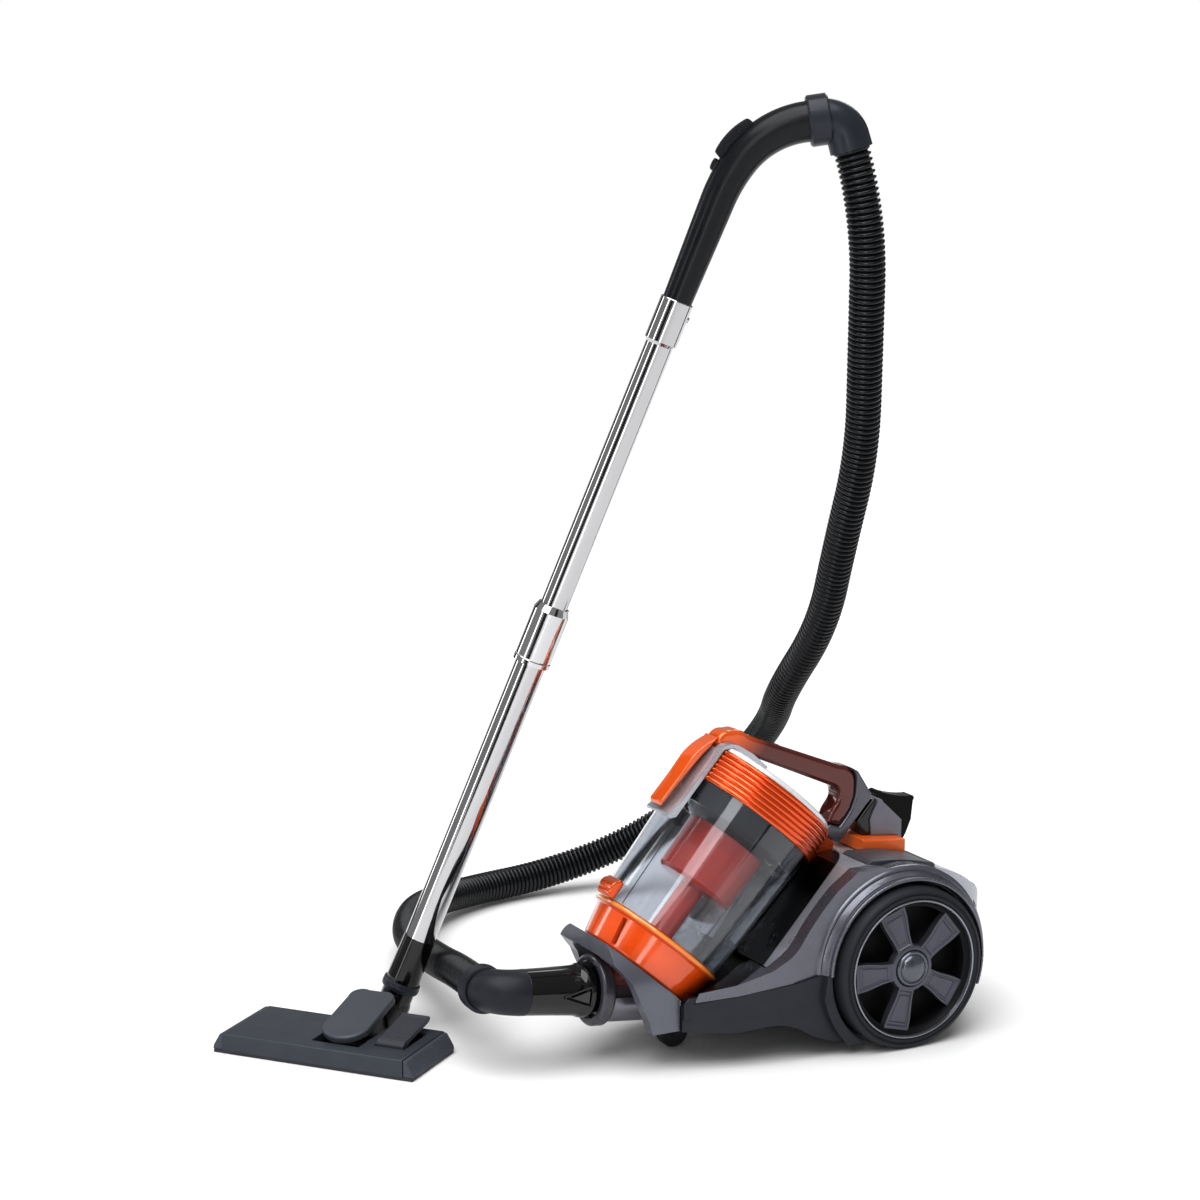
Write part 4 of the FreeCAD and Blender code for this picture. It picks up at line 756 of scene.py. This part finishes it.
WHEEL_OFFSET = 0.1
SPOKE_COUNT = 5
SPOKE_START = 57.0
TYRE_PROFILE = [
    (81.0, 2), (90, 2), (93.2, 3.2), (94.6, 5.4), (95, 8), (95, 12.6), (94.3, 13.4), (95, 14.2),
    (95, 20.6), (94.3, 21.4), (95, 22.2), (95, 29), (94.5, 33), (93.2, 36.6), (91.2, 38.9), (89, 39.6),
    (88.4, 38.4), (87.6, 38), (86.8, 38.3), (86.1, 39.5), (84.4, 39.8), (82.6, 39.2), (81.8, 37.2),
    (81.0, 37)]
LIP_PROFILE = [
    (80.5, 33), (81.4, 37.3), (81.5, 39.6), (81.0, 40.5), (80.0, 40.7), (79.2, 40.2), (78.6, 38.4),
    (78.0, 35)]
BARREL_PROFILE = [
    (80.4, 3), (80.4, 36), (78.2, 37.2), (76.8, 34.6), (74.4, 32.4), (72.6, 31.8), (72.4, 24), (75.4, 22),
    (76.0, 3)]
CAP_PROFILE = [
    (0, 26), (20.6, 26), (20.9, 35.6), (20.4, 37.2), (19.2, 38.2), (17.6, 38.3), (16.6, 37.7), (15.9, 38.9),
    (13.4, 41.2), (9.6, 43.0), (5, 44.1), (0, 44.4)]
HUB_PROFILE = [
    (5.3, 3), (13, 3), (13, 20), (19, 23.5), (27.5, 25), (27.5, 33.2), (26.6, 34.8), (25, 35.4), (22.2, 35.6),
    (21.5, 34.6), (21.5, 30), (5.3, 30)]
# The black disc behind the spokes is painted shade: a dark sheet standing for the shadow inside the wheel
# well.
SHADE_DISC_PROFILE = [(13.2, 6), (75.6, 6), (75.6, 8), (13.2, 8)]
# The rim's turned pieces: name, profile, segments and finish.
RIM_PIECES = (
    ("lip", LIP_PROFILE, 128, "lip"), ("barrel", BARREL_PROFILE, 128, "barrel"),
    # The back piece is that black disc of painted shade behind the spokes.
    ("cap", CAP_PROFILE, 72, "hub"), ("hub", HUB_PROFILE, 72, "rim"), ("back", SHADE_DISC_PROFILE, 96, "barrel"))


def build_wheel(side, direction, finishes):
    """A rear wheel: tyre, barrel with its bright lip, five panelled spokes and a domed cap."""
    body = side + "_wheel"
    place = (Matrix.Translation(AXLE + Vector((direction * WHEEL_OFFSET, 0.0, 0.0)))
             @ Matrix.Rotation(math.radians(90.0 * direction), 4, "Y"))
    tyre = painted(lathe(f"tyre_{side}_tread", TYRE_PROFILE, place, 160), finishes["tyre"])
    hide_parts(f"tyre_{side}")
    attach(tyre, body)
    parts = {name: painted(lathe(f"rim_{side}_{name}", profile, place, segments), finishes[finish])
             for name, profile, segments, finish in RIM_PIECES}
    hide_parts(f"rim_{side}")
    work = bmesh.new()
    for number in range(SPOKE_COUNT):
        add_spoke(work, math.radians(SPOKE_START + 360.0 / SPOKE_COUNT * number))
    spokes = linked(f"rim_{side}_spokes", meshed(f"rim_{side}_spokes", work), place)
    parts["spokes"] = painted(bevelled(spokes, 0.7, 25.0), finishes["rim"])
    for piece in parts.values():
        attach(piece, body)


SPOKE_HALF = [(22.0, 10.4), (30, 10.6), (40, 11.8), (50, 14.0), (60, 16.0), (73.4, 17.2)]
SPOKE_CENTRE = Vector((50.0, 0.0))
SPOKE_PANEL = ((0.82, 0.0), (0.77, 1.7), (0.64, 1.7), (0.60, 0.7), (0.52, 0.9))


def spoke_heights(radius):
    """Back and front of a spoke at a radius."""
    return 24.0, 35.0 - 2.2 * (radius - 22.0) / 51.0


def add_spoke(work, angle):
    """One spoke with its sunk, framed panel, added to a mesh under construction."""
    outline = [(radius, -across) for radius, across in SPOKE_HALF]
    outline += [(radius, across) for radius, across in SPOKE_HALF[::-1]]
    turn = Matrix.Rotation(angle, 4, "Z")
    back, front = ([work.verts.new(turn @ Vector((x, y, spoke_heights(x)[end])) * MM) for x, y in outline]
                   for end in (0, 1))
    bridged(work, [back, front])
    work.faces.new(back[::-1])
    rings = [front]
    for shrink, sink in SPOKE_PANEL:
        ring = []
        for corner in outline:
            point = SPOKE_CENTRE + (Vector(corner) - SPOKE_CENTRE) * shrink
            height = spoke_heights(point.x)[1] - sink
            ring.append(work.verts.new(turn @ Vector((point.x, point.y, height)) * MM))
        rings.append(ring)
    bridged(work, rings)
    work.faces.new(rings[-1])
    bmesh.ops.recalc_face_normals(work, faces=work.faces)


# ---------------------------------------------------------------- dressing the CAD nodes

# Nodes with sharp edges: their finish, and the width of their rounded edges in millimetres.
SOFT_NODES = {
    "chassis_base": ("chassis", 1.2), "upper_shell": ("shell", 1.6), "fender_left": ("panel", 0.9),
    "fender_right": ("panel", 0.9), "front_bracket": ("bracket", 1.6), "deck_strip": ("orange_strip", 0.8),
    "latch_tower": ("tower", 1.2), "dock_block": ("black", 1.2), "parking_hook": ("hook", 0.8),
    "lid_visor": ("visor", 1.0), "base_latch": ("orange_lid", 0.8), "power_pedal": ("foot_pedal", 1.0),
    "rewind_pedal": ("foot_pedal", 1.0), "head_shell": ("head", 1.0), "end_cap_left": ("end_cap", 0.9),
    "end_cap_right": ("end_cap", 0.9), "sole_plate": ("sole", 0.4), "head_pedal": ("pedal", 0.9),
    "neck_yoke": ("grille", 0.8), "neck_cover": ("cover", 2.2), "caster_fork": ("caster", 0.5),
    "exhaust_grille": ("grille", 0.5), "connector_button": ("button", 0.8),
    "cup_base_lid": ("orange_base", 0.6), "inlet_connector": ("black", 0.6), "lid_ring": ("orange_lid", 0.3),
}
# Nodes shown as they are, with their finish.
PLAIN_NODES = {
    "stub_axles": "steel", "caster_wheel": "caster", "exhaust_filter": "filter", "inlet_ring": "ring_black",
    "inlet_tube": "pipe", "motor_housing": "motor", "motor_rotor": "steel", "cord_reel": "inner_black",
    "reel_spindle": "steel", "cord_outlet": "grille", "chassis_screws": "steel", "cup_shell": "clear",
    "cup_collar": "collar", "lid_cap": "lid_top", "cyclone": "cyclone", "cup_filter": "filter",
    "hose_cuff": "cuff", "hose_elbow": "elbow", "handle_tube": "handle", "upper_tube": "chrome",
    "lower_tube": "chrome", "lock_sleeve": "sleeve", "neck_tube": "black", "hinge_pin": "steel",
    "brush_strips": "bristle",
}


def dress_nodes(finishes):
    """Give each CAD node its material, and rounded edges where it is a sharp solid."""
    for node, (finish, width) in SOFT_NODES.items():
        softened(node, width, finishes[finish])
    for node, finish in PLAIN_NODES.items():
        slots = NODES[node].material_slots
        if not slots:
            NODES[node].data.materials.append(finishes[finish])
        for slot in slots:
            slot.material = finishes[finish]


# ---------------------------------------------------------------- cup, grip and small details

# From an outline's (x, y) and height to (y, z) and x of the frame it is placed in.
SIDEWAYS = Matrix(((0, 0, 1, 0), (1, 0, 0, 0), (0, 1, 0, 0), (0, 0, 0, 1)))
GRIP_OUTLINE = [
    (-96, 258), (-96.5, 268, -88, 277.5), (-80, 284.5, -66, 287), (58, 331.5), (79, 336, 90, 329),
    (100, 317), (106, 301), (107, 288), (107, 276.9), (95.4, 272.5), (90.5, 271), (86, 285),
    (85.5, 294), (82, 304, 71, 308.5), (-58, 267), (-70, 262.5, -78, 255), (-84, 250)]
LEG_OUTLINE = [
    (71, 338.2), (84, 341), (112, 333), (119.6, 329, 120.5, 320), (120.5, 262), (108, 258.3), (92, 257),
    (92, 264), (95.4, 271.9), (107.4, 276.4), (107.4, 288), (106.4, 301.2), (100.3, 317.3),
    (90.5, 329.8), (81, 336.3, 71.2, 337.5)]
LEVER_OUTLINE = [
    (-106, 160), (-109.5, 164), (-109, 200), (-110, 224), (-106, 244, -99.5, 258),
    (-98.6, 262), (-98, 250), (-100.5, 236), (-102, 222), (-104.5, 190), (-105.2, 168)]
BEAD_PROFILE = [(81.6, 39.8), (83.3, 40.6), (83.9, 42.2), (83.3, 43.8), (81.6, 44.6)]
SEAM_ANGLES = (-74.0, 16.0, 150.0)
SEAM_RADIUS, SEAM_SPREAD = 81.1, 8.0
SEAM_FOOT, SEAM_HEIGHT = 47.0, 166.0
VENT_COUNT, VENT_START, VENT_STEP, VENT_HEIGHT = 6, -92.0, 4.2, 189.0


def build_cup_details(finishes):
    """The handle's rounded pieces, and the bead, seams and vents on the cup."""
    side_view = CUP_FRAME @ SIDEWAYS
    standing(pillow("grip_bar", GRIP_OUTLINE, -14.0, 14.0, 5.4, side_view, 3), "handle_grip",
             finishes["grip"])
    standing(pillow("grip_leg", LEG_OUTLINE, -15.0, 15.0, 3.2, side_view, 1), "handle_leg", finishes["leg"])
    standing(pillow("lever_paddle", LEVER_OUTLINE, -13.0, 13.0, 1.9, side_view, 1), "release_lever",
             finishes["orange_lever"])
    # The bead over the band's top, in pale amber as a painted highlight.
    added(lathe("band_highlight_ring", BEAD_PROFILE, CUP_FRAME, 128), "cup_base_lid", finishes["bead_painted_highlight"])
    for number, angle in enumerate(SEAM_ANGLES):
        line = [in_cup(angle, SEAM_RADIUS + SEAM_SPREAD * share, SEAM_FOOT + SEAM_HEIGHT * share)
                for share in (0.0, 0.25, 0.5, 0.75, 1.0)]
        added(tube_along(f"cup_seam_{number}", line, [0.0005] * 5, 8), "cup_shell", finishes["collar"])
    for number in range(VENT_COUNT):
        angle = VENT_START + VENT_STEP * number
        line = [in_cup(angle, 87.4, VENT_HEIGHT), in_cup(angle, 88.5, VENT_HEIGHT)]
        added(tube_along(f"cup_vent_{number}", line, [0.0015, 0.0013], 12), "cup_shell", finishes["collar"])


def in_cup(degrees, radius, height):
    """A point around the cup's axis, from millimetres to metres in the scene."""
    turned = Matrix.Rotation(math.radians(degrees), 4, "Z")
    return CUP_FRAME @ (turned @ Vector((radius * MM, 0.0, height * MM)))


RIB_COUNT, RIB_FIRST, RIB_STEP = 4, 0.0035, 0.0062
RIB_PROFILE = [(22.8, -2.1), (25.6, -1.8), (26.8, 0), (25.6, 1.8), (22.8, 2.1)]
BUTTON_OUTLINE = [(-11.6, 18.6), (11.6, 18.6), (0.9, 52), (-0.9, 52)]
BUTTON_REACH, BUTTON_LINE = 28.7, 0.0011
NECK_PROFILE = [
    (19.6, -67), (21.6, -66.4), (22.4, -64.6), (22.4, -61), (21.6, -59.4), (22.2, -58.2), (21.6, -56.6),
    (19.8, -56)]
GUSSET_OUTLINE = [(18.4, 60), (18.4, 79), (24, 85), (37, 85), (37, 60)]
GUSSET_WIDTH = 10.0
GUSSET_STARTS = {"left": 150.0, "right": -11.7}


def build_joint_details(finishes):
    """Small pieces: cuff ribs, the connector's button frame, the neck ring, nose gussets and the slider."""
    start = Vector(HOSE_POINTS[0])
    heading = (Vector(HOSE_POINTS[1]) - start).normalized()
    for number in range(RIB_COUNT):
        centre = start - heading * (RIB_FIRST + RIB_STEP * number)
        place = Matrix.Translation(centre) @ heading.to_track_quat("Z", "Y").to_matrix().to_4x4()
        added(lathe(f"cuff_rib_{number}", RIB_PROFILE, place, 48), "hose_cuff", finishes["cuff"])
    loop = dense(BUTTON_OUTLINE, 1.0)
    line = [INLET_FRAME @ Vector((BUTTON_REACH * MM, across * MM, along * MM))
            for across, along in loop + loop[:1]]
    added(tube_along("connector_frame", line, [BUTTON_LINE] * len(line), 10), "inlet_connector",
          finishes["black"])
    added(lathe("neck_ring", NECK_PROFILE, TUBE_FRAME, 64), "neck_tube", finishes["elbow"])
    for side, low in GUSSET_STARTS.items():
        gusset = pillow(f"nose_gusset_{side}", GUSSET_OUTLINE, low, low + GUSSET_WIDTH, 1.5, SIDEWAYS, 1)
        added(gusset, "chassis_base", finishes["chassis"])
    build_slider(finishes)


BEND_CENTRE = (112.6, 936.8)
BEND_SURFACE = 127.5
UPRIGHT = TUBE_FRAME @ Matrix(((1, 0, 0, 0), (0, 0, -1, 0), (0, 1, 0, 0), (0, 0, 0, 1)))


def on_bend(radius, degrees):
    """A point of the handle's bend in the tube's frame, in millimetres."""
    angle = math.radians(degrees)
    return BEND_CENTRE[0] - radius * math.cos(angle), BEND_CENTRE[1] + radius * math.sin(angle)


def build_slider(finishes):
    """The suction slider's pad and its thumb tab, which slide along the handle's bend."""
    pad = [on_bend(138.6, 11.5), on_bend(140.3, 22) + on_bend(138.4, 33), on_bend(BEND_SURFACE, 34.5),
           on_bend(BEND_SURFACE, 22) + on_bend(BEND_SURFACE, 10)]
    standing(pillow("slider_pad", pad, -9.0, 9.0, 2.0, UPRIGHT, 2), "suction_slider", finishes["slider"])
    tab = [on_bend(134.6, 3.6), on_bend(135.6, 6) + on_bend(135.2, 9.4), on_bend(BEND_SURFACE, 9.4),
           on_bend(BEND_SURFACE, 3.0)]
    added(pillow("slider_tab", tab, -6.0, 6.0, 1.2, UPRIGHT, 1), "suction_slider", finishes["black"])


# ---------------------------------------------------------------- light and floor

AIM = Vector((0.0, 0.0, 0.3))
WORLD_LEVEL = 0.34
SUN_LEVEL, SUN_SPREAD = 2.9, 60.0
FLOOR_SPAN = 40.0
CARD_AIM = Vector((0.0, 0.0, 0.4))
# Dark cards that only reflections see: place and size.
CARDS = (
    ((1.5, -2.6, 1.0), (0.9, 2.4)), ((3.6, 0.9, 1.1), (1.0, 2.6)), ((-2.6, -1.2, 1.0), (0.9, 2.4)),
    ((-1.2, 2.8, 1.1), (1.2, 2.6)))
# Area lights: name, place, size and power.
LIGHTS = (
    ("key", (1.9, -1.6, 2.4), (0.9, 1.8), 16.0), ("fill", (3.4, -2.6, 0.9), (0.5, 2.2), 12.0),
    ("rim", (-2.2, 2.4, 2.2), (1.2, 1.4), 16.0), ("side", (-2.8, -2.2, 1.4), (0.6, 2.2), 14.0),
    ("left", (0.4, -3.4, 1.0), (0.4, 2.0), 9.0))


def facing(place, target):
    """The rotation that turns a piece's -Z from a place to a target."""
    return (target - Vector(place)).to_track_quat("-Z", "Y").to_euler()


def rectangle(name, wide, high):
    """A flat rectangle of these half sizes around the origin."""
    mesh = bpy.data.meshes.new(name)
    mesh.from_pydata([(-wide, -high, 0), (wide, -high, 0), (wide, high, 0), (-wide, high, 0)], [],
                     [(0, 1, 2, 3)])
    return linked(name, mesh)


def area_light(name, place, size, power):
    """A rectangular light that looks at the machine and isn't seen by the camera."""
    data = bpy.data.lights.new(name, "AREA")
    data.shape = "RECTANGLE"
    data.size, data.size_y = size
    data.energy = power
    lamp = bpy.data.objects.new(name, data)
    SCENE.collection.objects.link(lamp)
    lamp.location = place
    lamp.rotation_euler = facing(place, AIM)
    lamp.visible_camera = False


def build_world():
    """A white world for the camera and through clear plastic, and a dimmer one as a light."""
    world = bpy.data.worlds.new("studio")
    SCENE.world = world
    world.use_nodes = True
    tree = world.node_tree
    background = tree.nodes["Background"]
    background.inputs["Color"].default_value = (1.0, 1.0, 1.0, 1.0)
    rays = tree.nodes.new("ShaderNodeLightPath")
    seen = tree.nodes.new("ShaderNodeMath")
    seen.operation = "MAXIMUM"
    tree.links.new(rays.outputs["Is Camera Ray"], seen.inputs[0])
    tree.links.new(rays.outputs["Is Transmission Ray"], seen.inputs[1])
    level = tree.nodes.new("ShaderNodeMapRange")
    level.inputs["To Min"].default_value = WORLD_LEVEL
    level.inputs["To Max"].default_value = 1.0
    tree.links.new(seen.outputs[0], level.inputs["Value"])
    tree.links.new(level.outputs["Result"], background.inputs["Strength"])


def studio():
    """A pale floor, soft lights, and dark cards that give the metal its dark streaks."""
    build_world()
    floor = rectangle("floor", FLOOR_SPAN, FLOOR_SPAN)
    paint = Finish("floor_paint")
    paint.join(paint.blend(paint.noise(2.0), (0.86, 0.86, 0.86), (0.88, 0.88, 0.88)),
               paint.shader.inputs["Base Color"])
    paint.fixed(Roughness=0.75)
    painted(floor, paint.material)
    card_paint = Finish("card_black")
    card_paint.fixed(Base_Color=(0.02, 0.02, 0.02, 1.0), Roughness=0.9)
    for number, (place, (wide, high)) in enumerate(CARDS):
        card = painted(rectangle(f"card_{number}", wide / 2, high / 2), card_paint.material)
        card.location = place
        card.rotation_euler = facing(place, CARD_AIM)
        card.visible_camera = False
        card.visible_shadow = False
        card.visible_diffuse = False
    sun = bpy.data.lights.new("sky_panel", "SUN")
    sun.energy = SUN_LEVEL
    sun.angle = math.radians(SUN_SPREAD)
    lamp = bpy.data.objects.new("sky_panel", sun)
    SCENE.collection.objects.link(lamp)
    lamp.rotation_euler = (math.radians(14.0), math.radians(10.0), 0.0)
    for light in LIGHTS:
        area_light(*light)
    SCENE.view_settings.view_transform = "Standard"
    SCENE.view_settings.exposure = 0.0
    SCENE.view_settings.gamma = 0.86


# ---------------------------------------------------------------- everything

def build_all():
    """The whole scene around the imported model."""
    set_camera()
    finishes = all_finishes()
    build_hose(finishes)
    for side, direction in (("left", 1), ("right", -1)):
        build_wheel(side, direction, finishes)
    dress_nodes(finishes)
    build_cup_details(finishes)
    build_joint_details(finishes)
    studio()


build_all()
